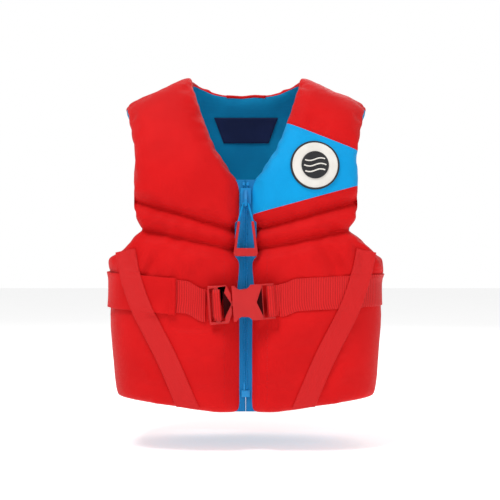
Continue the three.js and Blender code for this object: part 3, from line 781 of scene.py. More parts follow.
    def press_creases(self, body: bpy.types.Object) -> None:
        """Presses the narrow creases along seams and folds, and adds the small puckers beside them."""
        for vertex, point, normal in placed(body):
            out = outward(point)
            if normal.dot(out) < 0.2:
                continue
            depth = 0.0
            pucker = 0.0
            if point.y < -SIDE_SEAM:
                for seam in (UPPER_SEAM, LOWER_FOLD):
                    gap = seam.distance(point)
                    depth += self.crease_depth * falloff(gap, self.crease_width)
                    pucker += falloff(abs(gap) - 9 * MM, 8 * MM)
                if point.x > 0:
                    for seam in (YOKE_TOP, YOKE_BOTTOM):
                        gap = seam.distance(point)
                        depth += self.yoke_crease_depth * falloff(gap, 1.8 * MM)
                        pucker += 0.5 * falloff(abs(gap) - 5 * MM, 5 * MM)
                if point.z < HEM + 270 * MM:
                    pucker += 0.7 * falloff(abs(point.x) - 24 * MM, 14 * MM)
                depth += self.armhole_wrinkles(point)
            elif point.y > SIDE_SEAM:
                depth += self.back_crease_depth * falloff(point.z - BACK_SEAM, self.crease_width)
                pucker += falloff(abs(point.z - BACK_SEAM) - 9 * MM, 8 * MM)
            if point.z < UNDERARM:
                depth += self.side_crease_depth * falloff(abs(point.y) - SIDE_SEAM, 2.2 * MM)
            along = Vector((point.x * 55, point.y * 30, point.z * 22))
            depth -= self.pucker_depth * min(pucker, 1.0) * noise.noise(along)
            clear = min(1.0, max(0.0, (point.z - HEM - 20 * MM) / (30 * MM)))
            depth -= self.swell_noise * noise.noise(point * 18) * clear
            point = point - out * depth
            point.y = max(point.y, self.flat_under_buckle(point))
            vertex.co = point

    def clear_zip(self, body: bpy.types.Object) -> None:
        """Keeps the cloth out of the slider's way down the zip."""
        for vertex in body.data.vertices:
            x, y, _ = vertex.co
            if y < ZIP_PLANE + 12 * MM and abs(x) < self.zip_way:
                vertex.co.x = math.copysign(self.zip_way, x)

    def armhole_wrinkles(self, point: Vector) -> float:
        """Depth of the wrinkles that run down and inwards from the notch of each armhole."""
        x, z = abs(point.x), point.z - HEM
        near = falloff(x - 122 * MM, 42 * MM) * falloff(z - 188 * MM, 42 * MM)
        across, along = x * 0.85 + z * 0.5, z * 0.85 - x * 0.5
        spot = Vector((across * 80, along * 13, math.copysign(4.0, point.x)))
        return self.wrinkle_depth * near * noise.noise(spot)

    def flat_under_buckle(self, point: Vector) -> float:
        """The furthest forward that the cloth may stand where the buckle lies and slides."""
        beyond_x = max(0.0, point.x - 36 * MM, -90 * MM - point.x)
        beyond_z = max(0.0, abs(point.z - BUCKLE_ORIGIN.z) - 30 * MM)
        return BUCKLE_ORIGIN.y + 0.6 * MM - 0.7 * math.hypot(beyond_x, beyond_z)

    def part_of(self, point: Vector, normal: Vector) -> str:
        """The panel that a face belongs to, by the middle of the face."""
        inside = normal.dot(outward(point)) < self.lining_limit
        side = Side.LEFT if point.x > 0 else Side.RIGHT
        if abs(point.y) < SIDE_SEAM and point.z < UNDERARM + 12 * MM and abs(point.x) > 100 * MM:
            return f"side_lining_{side.word}" if inside else f"side_shell_{side.word}"
        if point.y > 0:
            if inside:
                return "back_lining"
            return "back_shell_upper" if point.z > BACK_SEAM else "back_shell_lower"
        if inside:
            return f"front_lining_{side.word}"
        if UPPER_SEAM.distance(point) < 0:
            return f"front_shell_{side.word}_lower"
        if side is Side.RIGHT:
            return "front_shell_right_upper"
        if YOKE_TOP.distance(point) > 0:
            return "front_shell_left_shoulder"
        if YOKE_BOTTOM.distance(point) > 0:
            return "front_shell_left_yoke"
        return "front_shell_left_chest"

    def cut_seams(self, bm: bmesh.types.BMesh) -> None:
        """Cuts the mesh along the planes of the seams, each only where the seam runs."""
        cuts: list[tuple[Vector, Vector, Callable[[Vector], bool]]] = []
        for side in Side:
            seams = [UPPER_SEAM] if side is Side.RIGHT else [UPPER_SEAM, YOKE_TOP, YOKE_BOTTOM]
            for seam in seams:
                normal = Vector((-seam.slope * side.value, 0.0, 1.0)).normalized()
                cuts.append(
                    (
                        Vector((0.0, 0.0, HEM + seam.rise)),
                        normal,
                        lambda point, s=side: point.y < 0 and point.x * s.value > 0,
                    )
                )
        cuts.append((Vector((0, 0, BACK_SEAM)), Vector((0, 0, 1)), lambda point: point.y > 0))
        cuts.append((Vector(), Vector((0, 1, 0)), lambda point: point.z > UNDERARM))
        for sign in (-1, 1):
            cuts.append(
                (
                    Vector((0, sign * SIDE_SEAM, 0)),
                    Vector((0, 1, 0)),
                    lambda point: point.z < UNDERARM + 12 * MM and abs(point.x) > 100 * MM,
                )
            )
        for origin, normal, wanted in cuts:
            faces = [face for face in bm.faces if wanted(face.calc_center_median())]
            edges = {edge for face in faces for edge in face.edges}
            verts = {vertex for face in faces for vertex in face.verts}
            bmesh.ops.bisect_plane(
                bm,
                geom=[*faces, *edges, *verts],
                dist=0.05 * MM,
                plane_co=origin,
                plane_no=normal,
            )

    def cut_apart(self, body: bpy.types.Object) -> None:
        """Cuts the body along its seams into one piece for each panel and each lining."""
        bm = bmesh.new()
        bm.from_mesh(body.data)
        self.cut_seams(bm)
        bm.normal_update()
        layer = bm.faces.layers.int.new("panel")
        names: list[str] = []
        for face in bm.faces:
            name = self.part_of(face.calc_center_median(), face.normal)
            if name not in names:
                names.append(name)
            face[layer] = names.index(name)
        self.straighten(bm, layer, names)
        for index, name in enumerate(names):
            part = bm.copy()
            key = part.faces.layers.int["panel"]
            others = [face for face in part.faces if face[key] != index]
            bmesh.ops.delete(part, geom=others, context="FACES")
            finish = "lining_blue" if "lining" in name else "shell_red"
            if name == "front_shell_left_yoke":
                finish = "shell_blue"
            made = piece_from(part, f"{name}_cloth", finish)
            self.pieces[name] = made
            finish_piece(made, "vest", finish, name, *self.foam_of(name))
        bm.free()
        bpy.data.objects.remove(body)

    def foam_of(self, name: str) -> list[str]:
        """The foam slabs that a shell encloses."""
        inner = {
            "back_shell_upper": ["foam_back_upper"],
            "back_shell_lower": ["foam_back_lower"],
            "front_shell_right_upper": ["foam_front_right_upper", "foam_front_right_middle"],
            "front_shell_left_yoke": ["foam_front_left_upper", "foam_front_left_middle"],
            "front_shell_right_lower": ["foam_front_right_lower"],
            "front_shell_left_lower": ["foam_front_left_lower"],
            "side_shell_right": ["foam_side_right"],
            "side_shell_left": ["foam_side_left"],
        }
        return inner.get(name, [])

    def straighten(self, bm: bmesh.types.BMesh, layer: object, names: Sequence[str]) -> None:
        """Smooths the line along which shells and linings meet."""
        inner = [("lining" in name) for name in names]
        border: dict[bmesh.types.BMVert, list[bmesh.types.BMVert]] = {}
        for edge in bm.edges:
            faces = edge.link_faces
            if len(faces) == 2 and inner[faces[0][layer]] != inner[faces[1][layer]]:
                first, second = edge.verts
                border.setdefault(first, []).append(second)
                border.setdefault(second, []).append(first)
        for _ in range(12):
            moved = {
                vertex: sum((other.co for other in near), Vector()) / len(near)
                for vertex, near in border.items()
                if len(near) == 2
            }
            for vertex, target in moved.items():
                vertex.co = vertex.co.lerp(target, 0.5)


def strap_distance(point: Vector, side: Side) -> float:
    """Distance of a point from the middle of a diagonal strap, seen from the front."""
    best = 1.0
    for (ax, az), (bx, bz) in zip(STRAP_ROUTE, STRAP_ROUTE[1:]):
        start = Vector((ax * side.value * MM, HEM + az * MM))
        end = Vector((bx * side.value * MM, HEM + bz * MM))
        here = Vector((point.x, point.z))
        run = end - start
        share = max(0.0, min(1.0, (here - start).dot(run) / run.length_squared))
        best = min(best, (here - start - run * share).length)
    return best


# ---------------------------------------------------------------- surfaces laid on the panels


class Surface:
    """The outer faces of some pieces, for laying webbing and patches on."""

    def __init__(self, pieces: Iterable[bpy.types.Object]) -> None:
        bm = bmesh.new()
        graph = bpy.context.evaluated_depsgraph_get()
        for made in pieces:
            shown = made.evaluated_get(graph)
            bm.from_mesh(shown.to_mesh())
            shown.to_mesh_clear()
        self.tree = BVHTree.FromBMesh(bm)
        bm.free()

    def hit(self, origin: Vector, direction: Vector) -> Optional[float]:
        """Distance from an origin to the surface along a direction."""
        _, _, _, distance = self.tree.ray_cast(origin, direction)
        return distance


@dataclass
class LaidStrip:
    """A flat strip that lies on a surface, such as webbing.

    Each row of its route is an origin outside the surface, the direction inwards and the direction across.
    """

    name: str
    route: list[tuple[Vector, Vector, Vector]]
    width: float
    lift: float
    thickness: float
    finish: str
    across: int = 6
    smoothing: int = 6
    length_before: float = 0.0

    def build(self, surface: Surface) -> bpy.types.Object:
        """Lays the strip on a surface and gives it its thickness.

        Args:
            surface: What it lies on.

        Returns:
            The new piece.
        """
        count = len(self.route)
        depths = self.measured(surface, count)

        def point(row: int, column: int) -> Vector:
            origin, inwards, side = self.route[row]
            offset = (column / self.across - 0.5) * self.width
            return origin + side * offset + inwards * (depths[row][column] - self.lift)

        lengths = run_lengths([point(row, self.across // 2) for row in range(count)], self.length_before)
        bm, row_of = woven_grid(
            count - 1,
            self.across,
            lambda row, column: (point(row, column), (lengths[row], column / self.across * self.width)),
        )
        bm.normal_update()
        if sum(face.normal.dot(self.route[row_of[face.verts[0]]][1]) for face in bm.faces) > 0:
            bmesh.ops.reverse_faces(bm, faces=bm.faces)
        made = piece_from(bm, self.name, self.finish)
        thicken(made, self.thickness)
        soften_edges(made, min(self.thickness * 0.4, 0.6 * MM))
        return made

    def measured(self, surface: Surface, count: int) -> list[list[float]]:
        """Depth of the surface at each point of the grid, smoothed but never below the surface."""
        raw = []
        for origin, inwards, side in self.route:
            row = []
            for column in range(self.across + 1):
                offset = (column / self.across - 0.5) * self.width
                distance = surface.hit(origin + side * offset, inwards)
                row.append(distance)
            known = [value for value in row if value is not None]
            fallback = min(known) if known else None
            raw.append([value if value is not None else fallback for value in row])
        last = next(row for row in raw if row[0] is not None)
        for index, row in enumerate(raw):
            if row[0] is None:
                raw[index] = list(last)
            else:
                last = row
        depths = [list(row) for row in raw]
        for _ in range(self.smoothing):
            fresh = []
            for index in range(count):
                before = depths[max(index - 1, 0)]
                after = depths[min(index + 1, count - 1)]
                here = depths[index]
                mean = sum(here) / len(here)
                fresh.append(
                    [
                        min(raw[index][c], (before[c] + after[c] + here[c] + mean) / 4)
                        for c in range(self.across + 1)
                    ]
                )
            depths = fresh
        return depths


OUTSIDE = 0.4


def front_route(
    points: Sequence[tuple[float, float]], steps: int, end_slope: Optional[float] = None
) -> list[tuple[Vector, Vector, Vector]]:
    """A route over the front, through (x, z) points in metres.

    Args:
        points: The points that the middle of the strip passes.
        steps: Number of rows.
        end_slope: Slope of the last row's edge, where it isn't square.

    Returns:
        The rows of the strip.
    """
    curve = smooth_run([Vector((x, 0.0, z)) for x, z in points], steps)
    rows = []
    for index, point in enumerate(curve):
        ahead = curve[min(index + 1, len(curve) - 1)] - curve[max(index - 1, 0)]
        ahead.normalize()
        side = Vector((-ahead.z, 0.0, ahead.x))
        if end_slope is not None:
            share = max(0.0, (index - len(curve) + 13) / 12)
            edge = Vector((1.0, 0.0, end_slope)) / Vector((1.0, 0.0, end_slope)).dot(side)
            side = side.lerp(edge, share * share)
        rows.append((Vector((point.x, -OUTSIDE, point.z)), Vector((0, 1, 0)), side))
    return rows


def smooth_run(points: Sequence[Vector], steps: int) -> list[Vector]:
    """Evenly spaced points on a smooth curve through the ones given."""
    dense: list[Vector] = []
    count = len(points)
    for index in range(count - 1):
        before = points[max(index - 1, 0)]
        start, end = points[index], points[index + 1]
        after = points[min(index + 2, count - 1)]
        for step in range(24):
            t = step / 24
            dense.append(
                0.5
                * (
                    2 * start
                    + (end - before) * t
                    + (2 * before - 5 * start + 4 * end - after) * t**2
                    + (3 * start - before - 3 * end + after) * t**3
                )
            )
    dense.append(points[-1].copy())
    lengths = run_lengths(dense)
    result = []
    place = 0
    for step in range(steps + 1):
        target = lengths[-1] * step / steps
        while place < len(lengths) - 2 and lengths[place + 1] < target:
            place += 1
        span = lengths[place + 1] - lengths[place]
        share = (target - lengths[place]) / span if span > 0 else 0.0
        result.append(dense[place].lerp(dense[place + 1], share))
    return result


def round_route(
    surface: Surface, start: float, end: float, level: Callable[[float], float], steps: int
) -> list[tuple[Vector, Vector, Vector]]:
    """A route round the body between two headings, in degrees from the front towards +X.

    Args:
        surface: What the strip lies on.
        start: Heading of the first row.
        end: Heading of the last row.
        level: Height of the strip's middle at an x.
        steps: Number of rows.

    Returns:
        The rows of the strip, evenly spaced along the surface.
    """
    def spot(angle: float) -> tuple[Vector, Vector, float]:
        inwards = Vector((-math.sin(angle), math.cos(angle), 0.0))
        origin = -inwards * OUTSIDE
        origin.z = level(HALF_WIDTH * math.sin(angle))
        return origin, inwards, surface.hit(origin, inwards) or 0.25

    samples = []
    for index in range(181):
        angle = math.radians(start + (end - start) * index / 180)
        origin, inwards, distance = spot(angle)
        samples.append((angle, origin + inwards * distance))
    lengths = run_lengths([point for _, point in samples])
    rows = []
    place = 0
    for step in range(steps + 1):
        target = lengths[-1] * step / steps
        while place < len(lengths) - 2 and lengths[place + 1] < target:
            place += 1
        span = lengths[place + 1] - lengths[place]
        share = (target - lengths[place]) / span if span > 0 else 0.0
        angle = samples[place][0] + (samples[place + 1][0] - samples[place][0]) * share
        inwards = Vector((-math.sin(angle), math.cos(angle), 0.0))
        point = samples[place][1].lerp(samples[place + 1][1], share)
        origin = -inwards * OUTSIDE
        origin.z = level(point.x)
        rows.append((origin, inwards, Vector((0, 0, 1))))
    return rows


def tube(name: str, path: Sequence[Vector], radius: float, finish: str, sides: int = 10) -> bpy.types.Object:
    """A round cord along a path of points, closed at both ends.

    Args:
        name: The piece's name.
        path: Points along the middle.
        radius: Radius of the cord.
        finish: A key of MATERIALS.
        sides: Number of sides.

    Returns:
        The new piece.
    """
    bm = bmesh.new()
    add_tube(bm, path, radius, sides)
    return piece_from(bm, name, finish)


def add_tube(bm: bmesh.types.BMesh, path: Sequence[Vector], radius: float, sides: int) -> None:
    """Adds a closed tube along a path to a mesh."""
    ahead = (path[1] - path[0]).normalized()
    frame_turn = ahead.to_track_quat("Z", "Y").to_matrix().to_4x4()
    made = bmesh.ops.create_circle(
        bm, cap_ends=True, radius=radius, segments=sides, matrix=Matrix.Translation(path[0]) @ frame_turn
    )
    ring = made["verts"]
    face = next(f for f in bm.faces if set(f.verts) == set(ring))
    if face.normal.dot(ahead) > 0:
        face.normal_flip()
    edges = list({edge for vertex in ring for edge in vertex.link_edges})
    current = edges
    spot, heading = path[0], ahead
    for index in range(1, len(path)):
        following = path[min(index + 1, len(path) - 1)]
        fresh = (following - path[index - 1]).normalized()
        turn = heading.rotation_difference(fresh).to_matrix().to_4x4()
        made = bmesh.ops.extrude_edge_only(bm, edges=current)["geom"]
        verts = [part for part in made if isinstance(part, bmesh.types.BMVert)]
        move = Matrix.Translation(path[index]) @ turn @ Matrix.Translation(-spot)
        bmesh.ops.transform(bm, matrix=move, verts=verts)
        current = [part for part in made if isinstance(part, bmesh.types.BMEdge)]
        current = [edge for edge in current if all(v in verts for v in edge.verts)]
        spot, heading = path[index], fresh
    bmesh.ops.holes_fill(bm, edges=current, sides=sides)
    bmesh.ops.recalc_face_normals(bm, faces=bm.faces)


# ---------------------------------------------------------------- belt, straps and buckle


def belt_level(x: float) -> float:
    """Height of the belt's middle at an x on the front: lower near the buckle."""
    reach = min(abs(x) / HALF_WIDTH, 1.0)
    near = 136 if x > 0 else 130
    centre = HEM + near * MM
    return centre + (BELT_MIDDLE - centre) * reach**0.8


def on_buckle(x: float, y: float, z: float) -> Vector:
    """A point given in the buckle's own frame, in millimetres, in the jacket's frame."""
    turn = Matrix.Rotation(-BUCKLE_TILT, 4, "Y")
    return BUCKLE_ORIGIN + turn @ Vector((x * MM, y * MM, z * MM))


@dataclass
class WaistBelt:
    """The webbing round the waist, its sleeve on the right and its loops on the buckle."""

    thickness: float = 1.6 * MM
    lift: float = 0.3 * MM

    def build(self, surface: Surface) -> list[bpy.types.Object]:
        """Builds every stretch of the belt and returns the ones that lie on the fronts."""
        laid = self.side_stretches(surface)
        self.loop("belt_loop_left", 30.5, 36.0, "vest")
        self.loop("belt_loop_right", -31.6, -26.0, "plug")
        return laid

    def side_stretches(self, surface: Surface) -> list[bpy.types.Object]:
        """The webbing on both sides and round the back, and the sleeve."""
        left = self.from_buckle(surface, 43.0, 60 * MM, 97.0, "belt_webbing_left_cloth")
        finish_piece(left, "vest", "webbing_red", "belt_webbing_left")
        route = round_route(surface, 90, 270, lambda _x: BELT_MIDDLE, 110)
        back = LaidStrip(
            "belt_webbing_back_cloth", route, BELT_WIDTH, self.lift, self.thickness, "webbing_red"
        ).build(surface)
        finish_piece(back, "vest", "webbing_red", "belt_webbing_back")
        right = self.from_buckle(surface, -43.0, -70 * MM, -48.5, "belt_webbing_right_cloth")
        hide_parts("belt_webbing_right")
        applied(right)
        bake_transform(right)
        sleeve_route = round_route(surface, -38.6, -94, belt_level, 70)
        sleeve = LaidStrip(
            "belt_sleeve_cloth", sleeve_route, BELT_WIDTH + 4 * MM, 2.6 * MM, 1.6 * MM, "shell_red"
        ).build(surface)
        finish_piece(sleeve, "vest", "shell_red", "belt_sleeve_right")
        rim = LaidStrip(
            "belt_sleeve_rim", sleeve_route[:4], BELT_WIDTH + 5 * MM, 4.2 * MM, 1.0 * MM, "shell_red"
        ).build(surface)
        finish_piece(rim, "vest", "shell_red")
        return [left, right, sleeve]

    def from_buckle(
        self, surface: Surface, start: float, flat_x: float, heading: float, name: str
    ) -> bpy.types.Object:
        """Webbing from the buckle's tail out to the side.

        Args:
            surface: What it lies on.
            start: Where the tail leaves the buckle, in the buckle's frame.
            flat_x: Where it has settled on the surface.
            heading: Heading of its far end, in degrees.
            name: The piece's name.

        Returns:
            The new piece.
        """
        first = on_buckle(start, 0, 0)
        angle = math.degrees(math.atan2(first.x, -first.y))

        def level(x: float) -> float:
            share = max(0.0, min(1.0, (x - first.x) / (flat_x - first.x)))
            share = share * share * (3 - 2 * share)
            return first.z + (belt_level(flat_x) - first.z) * share if share < 1 else belt_level(x)

        route = round_route(surface, angle, heading, level, 90)
        return LaidStrip(name, route, BELT_WIDTH, self.lift, self.thickness, "webbing_red").build(surface)

    def loop(self, name: str, bar_from: float, bar_to: float, body: str) -> None:
        """The webbing that turns round a bar of the buckle and joins the belt.

        Args:
            name: The piece's name.
            bar_from: Start of the bar along the buckle, in millimetres.
            bar_to: End of the bar.
            body: The body that it rides on.
        """
        away = 1 if bar_from > 0 else -1
        gap = 1.2
        near, far = (bar_from, bar_to) if away > 0 else (bar_to, bar_from)
        front, back = -8.0 - gap, -3.0 + gap
        profile = [
            (far + away * 8.5, 0.6),
            (far + away * 4.0, -1.0),
            (far, back),
            (near, back),
            (near - away * gap, (front + back) / 2),
            (near, front),
            ((near + far) / 2, front - 0.3),
            (far, front),
            (far + away * 1.6, front + 2.4),
            (far + away * 3.2, -2.8),
            (far + away * 8.5, -0.9),
        ]
        rows, columns = 60, 6
        line = smooth_run([Vector((x, y, 0.0)) for x, y in profile], rows)
        lengths = run_lengths([point * MM for point in line])
        width = BELT_WIDTH / MM - 2.0

        def spot(row: int, column: int) -> tuple[Vector, tuple[float, float]]:
            across = (column / columns - 0.5) * width
            return on_buckle(line[row].x, line[row].y, across), (lengths[row], across * MM)

        bm, _ = woven_grid(rows, columns, spot)
        made = piece_from(bm, name, "webbing_red")
        thicken(made, 1.2 * MM, 0.0)
        finish_piece(made, body, "webbing_red")


@dataclass
class DiagonalStraps:
    """The two webbing straps from under the arms to the hem, over the belt."""

    thickness: float = 1.6 * MM
    lift: float = 0.4 * MM

    def build(self, surface: Surface) -> None:
        """Lays both straps."""
        for side in Side:
            points = [(x * side.value * MM, HEM + z * MM) for x, z in STRAP_ROUTE]
            strip = LaidStrip(
                f"diagonal_strap_{side.word}_cloth",
                front_route(points, 90, 0.1 * side.value),
                STRAP_WIDTH,
                self.lift,
                self.thickness,
                "strap_red",
            )
            finish_piece(strip.build(surface), "vest", "webbing_red", f"diagonal_strap_{side.word}")


@dataclass
class Buckle:
    """The side-release buckle: socket, plug and spring arms."""

    rounding: float = 1.1 * MM

    def window(self, name: str, corners: Sequence[tuple[float, float]], front: float, body: str) -> None:
        """A dark sheet of painted shade in a window of the buckle, sunk a little behind its rim.

        Args:
            name: The piece's name.
            corners: Corners in the buckle's frame, in millimetres.
            front: How far in front of the buckle's middle it lies, in millimetres.
            body: The body that it rides on.
        """
        bm = bmesh.new()
        bmesh.ops.create_circle(bm, cap_ends=True, radius=1.0, segments=len(corners))
        for vertex, (x, z) in zip(bm.verts, corners):
            vertex.co = on_buckle(x, front, z)
        bm.normal_update()
        if next(iter(bm.faces)).normal.y > 0:
            bmesh.ops.reverse_faces(bm, faces=bm.faces)
        bmesh.ops.bevel(
            bm,
            geom=list(bm.verts),
            offset=1.2 * MM,
            offset_type="OFFSET",
            affect="VERTICES",
            segments=3,
            profile=0.5,
            material=-1,
        )
        made = piece_from(bm, name, "window_painted_shade")
        thicken(made, 0.35 * MM)
        finish_piece(made, body, "plastic_red")

    def build(self) -> None:
        """Dresses each moulding."""
        moulded("buckle_socket", "plastic_red", "plastic_red", "vest", self.rounding)
        moulded("buckle_plug", "plastic_red", "plastic_red", "plug", self.rounding * 0.8)
        for word in ("upper", "lower"):
            moulded(f"buckle_arm_{word}", "plastic_red", "plastic_red", f"arm_{word}", self.rounding * 0.6)
        left = ((-21.8, 16.5), (-21.8, -16.5), (-12.6, 0.0))
        right = ((23.4, 16.5), (16.8, 0.0), (23.4, -16.5))
        # Sheets of painted shade in the buckle's two openings.
        self.window("buckle_window_shade_left", left, -8.05, "plug")
        self.window("buckle_window_shade_right", right, -11.05, "vest")


# ---------------------------------------------------------------- zip


@dataclass
class Zip:
    """Tapes, coils, end pieces, the slider and its pull."""

    tooth_pitch: float = 1.5 * MM
    tooth_sides: int = 6
    sewn_in: float = 5 * MM
    apart: float = 0.15 * MM

    def build(self) -> None:
        """Builds every piece of the zip."""
        for side in Side:
            self.tape(side)
            self.coil(side)
            moulded(f"zip_stop_{side.word}", "zip_plastic", "zip_plastic", "vest", 0.6 * MM)
        moulded("zip_pin", "zip_plastic", "zip_plastic", "vest", 0.4 * MM)
        moulded("zip_box", "zip_plastic", "zip_plastic", "vest", 0.9 * MM)
        moulded("zip_slider", "zip_plastic", "zip_plastic", "slider", 0.6 * MM)
        self.pull()

    def tape(self, side: Side) -> None:
        """A woven tape, flat."""
        node = f"zip_tape_{side.word}"
        bottom, top = low(node), high(node)
        rows, columns = 120, 4
        if side is Side.LEFT:
            bottom.x, top.x = self.apart, top.x + self.sewn_in
        else:
            bottom.x, top.x = bottom.x - self.sewn_in, -self.apart

        def spot(row: int, column: int) -> tuple[Vector, tuple[float, float]]:
            across = column / columns * (top.x - bottom.x)
            along = row / rows * (top.z - bottom.z)
            return Vector((bottom.x + across, ZIP_PLANE, bottom.z + along)), (along, across)

        bm, _ = woven_grid(rows, columns, spot)
        made = piece_from(bm, f"{node}_cloth", "zip_tape")
        thicken(made, 0.9 * MM, 0.0)
        finish_piece(made, "vest", "zip_blue", node)

    def coil(self, side: Side) -> None:
        """The row of coil teeth along a tape's inner edge."""
        node = f"zip_tape_{side.word}"
        start = high("zip_box").z + 1 * MM
        end = low(f"zip_stop_{side.word}").z
        count = int((end - start) / self.tooth_pitch)
        bm = bmesh.new()
        for index in range(count):
            z = start + (index + (0.5 if side is Side.LEFT else 0.0)) * self.tooth_pitch
            mouth = max(0.0, (z - high("zip_slider").z + 14 * MM) / (20 * MM))
            inner = (-0.5 + 1.3 * min(mouth, 1.0)) * MM
            tooth = bmesh.ops.create_uvsphere(
                bm, u_segments=self.tooth_sides, v_segments=5, radius=1.0
            )["verts"]
            outer = 3.2 * MM
            scale = Vector(((outer - inner) / 2, 1.35 * MM, 0.56 * MM))
            bmesh.ops.scale(bm, vec=scale, verts=tooth)
            centre = Vector((side.value * (outer + inner) / 2, ZIP_PLANE, z))
            bmesh.ops.translate(bm, vec=centre, verts=tooth)
        made = piece_from(bm, f"{node}_coil", "zip_plastic")
        finish_piece(made, "vest", "zip_blue")

    def pull(self) -> None:
        """The cord through the slider's eye and the moulded handle."""
        bottom, top = low("zip_pull_cord"), high("zip_pull_cord")
        y = middle("zip_pull_cord").y
        radius = (top.y - bottom.y) / 2
        eye = top.z - radius
        foot = low("zip_pull_cord").z + 0.6 * MM
        leg = top.x - radius
        right = [
            Vector((leg, y, foot - 5 * MM)),
            Vector((leg, y, foot)),
            Vector((leg * 0.55, y, foot + 14 * MM)),
            Vector((2.7 * MM, y, eye - 1.4 * MM)),
        ]
        left = [Vector((-point.x, point.y, point.z)) for point in reversed(right)]
        path = smooth_run([*right, Vector((0, y, eye)), *left], 70)
        cord = tube("zip_pull_cord_braid", path, radius, "cord_blue", 12)
        finish_piece(cord, "pull", "cord_blue", "zip_pull_cord")
        moulded("zip_pull_handle", "plastic_red", "plastic_red", "pull", 1.4 * MM, 4)


# ---------------------------------------------------------------- patches, binding and stitching


def laid_disc(
    name: str, centre: Vector, radius: float, lift: float, finish: str, surface: Surface
) -> bpy.types.Object:
    """A round patch laid on the front.

    Args:
        name: The piece's name.
        centre: Middle of the patch; its y is not used.
        radius: Radius.
        lift: Height of its back above the surface.
        finish: A key of MATERIALS.
        surface: What it lies on.

    Returns:
        The new piece.
    """
    bm = bmesh.new()
    bmesh.ops.create_circle(bm, cap_ends=True, cap_tris=True, radius=radius, segments=72)
    bmesh.ops.subdivide_edges(
        bm, edges=[e for e in bm.edges if len(e.link_faces) == 2], cuts=7, use_grid_fill=True
    )
    depth = None
    for vertex in bm.verts:
        spot = Vector((centre.x + vertex.co.x, -OUTSIDE, centre.z + vertex.co.y))
        distance = surface.hit(spot, Vector((0, 1, 0)))
        depth = distance if distance is not None else depth
        vertex.co = Vector((spot.x, -OUTSIDE + (depth or 0.3) - lift, spot.z))
    bm.normal_update()
    if sum(face.normal.y for face in bm.faces) > 0:
        bmesh.ops.reverse_faces(bm, faces=bm.faces)
    made = piece_from(bm, name, finish)
    thicken(made, 1.1 * MM)
    soften_edges(made, 0.4 * MM)
    return made


@dataclass
class Badge:
    """A plain round badge on the yoke: an off-white ring, a dark disc and three waves."""

    waves: int = 3

    def build(self, surface: Surface) -> None:
        """Lays the badge on the yoke."""
        centre = middle("chest_badge")
        radius = (high("chest_badge").x - low("chest_badge").x) / 2
        disc_radius = (high("chest_badge_centre").x - low("chest_badge_centre").x) / 2
        ring = laid_disc("chest_badge_patch", centre, radius, 0.2 * MM, "badge_white", surface)
        finish_piece(ring, "vest", "badge_white", "chest_badge")
        disc = laid_disc("chest_badge_disc", centre, disc_radius, 1.4 * MM, "badge_dark", surface)
        finish_piece(disc, "vest", "badge_dark", "chest_badge_centre")
        rim = tube_on(
            "chest_badge_rim", circle_points(centre, radius - 0.4 * MM, 96), 1.3 * MM, 0.8 * MM, surface
        )
        finish_piece(rim, "vest", "badge_dark")
        for index in range(self.waves):
            level = (index - (self.waves - 1) / 2) * 6.5 * MM
            reach = math.sqrt(disc_radius**2 - level**2) - 3 * MM
            points = []
            for step in range(37):
                x = -reach + 2 * reach * step / 36
                z = level + 1.6 * MM * math.sin(x / (4.2 * MM))
                points.append(Vector((centre.x + x, 0, centre.z + z)))
            name = f"chest_badge_wave_{index + 1}"
            wave = tube_on(name, points, 0.8 * MM, 2.6 * MM, surface, "badge_white")
            finish_piece(wave, "vest", "badge_white")


def circle_points(centre: Vector, radius: float, count: int) -> list[Vector]:
    """Points round a circle seen from the front, the first one repeated at the end."""
    return [
        centre
        + Vector((math.cos(2 * math.pi * k / count), 0.0, math.sin(2 * math.pi * k / count))) * radius
        for k in range(count + 1)
    ]


def tube_on(
    name: str,
    points: Sequence[Vector],
    radius: float,
    lift: float,
    surface: Surface,
    finish: str = "badge_dark",
) -> bpy.types.Object:
    """A thin cord laid on the front along points seen from the front."""
    path = []
    for point in points:
        distance = surface.hit(Vector((point.x, -OUTSIDE, point.z)), Vector((0, 1, 0)))
        if distance is not None:
            path.append(Vector((point.x, -OUTSIDE + distance - lift, point.z)))
    return tube(name, path, radius, finish, 8)


@dataclass
class SizeLabel:
    """The blank trapezoid label inside the back."""

    rows: int = 16

    def build(self, lining: Surface) -> None:
        """Lays the label on the back lining."""
        bottom, top = low("size_label"), high("size_label")
        bm = bmesh.new()
        bmesh.ops.create_grid(bm, x_segments=24, y_segments=self.rows, size=0.5)
        for vertex in bm.verts:
            across, up = vertex.co.x * 2, vertex.co.y + 0.5
            half = (29 + 12 * up) * MM
            x = across * half
            z = bottom.z + (top.z - bottom.z) * up
            distance = lining.hit(Vector((x, 0.0, z)), Vector((0, 1, 0))) or 0.05
            vertex.co = Vector((x, distance - 0.8 * MM, z))
        bm.normal_update()
        if sum(face.normal.y for face in bm.faces) > 0:
            bmesh.ops.reverse_faces(bm, faces=bm.faces)
        made = piece_from(bm, "size_label_cloth", "label_navy")
        thicken(made, 0.6 * MM)
        finish_piece(made, "vest", "label_navy", "size_label")


@dataclass
class NeckBinding:
    """The rolled red edge along the back of the neck."""

    radius: float = 2.0 * MM

    def build(self, shell: Surface) -> None:
        """Lays the binding on the edge."""
        half = high("neck_binding").x - 2 * MM
        depth = high("neck_binding").y - 3 * MM
        path = []
        for turn in range(-82, 83, 4):
            angle = math.radians(turn)
            x, y = half * math.sin(angle), depth * math.cos(angle)
            distance = shell.hit(Vector((x, y, OUTSIDE)), Vector((0, 0, -1)))
            if distance is not None and distance < OUTSIDE + 0.1:
                path.append(Vector((x, y, OUTSIDE - distance + 0.2 * MM)))
        made = tube("neck_binding_roll", path, self.radius, "shell_red", 10)
        finish_piece(made, "vest", "shell_red", "neck_binding")


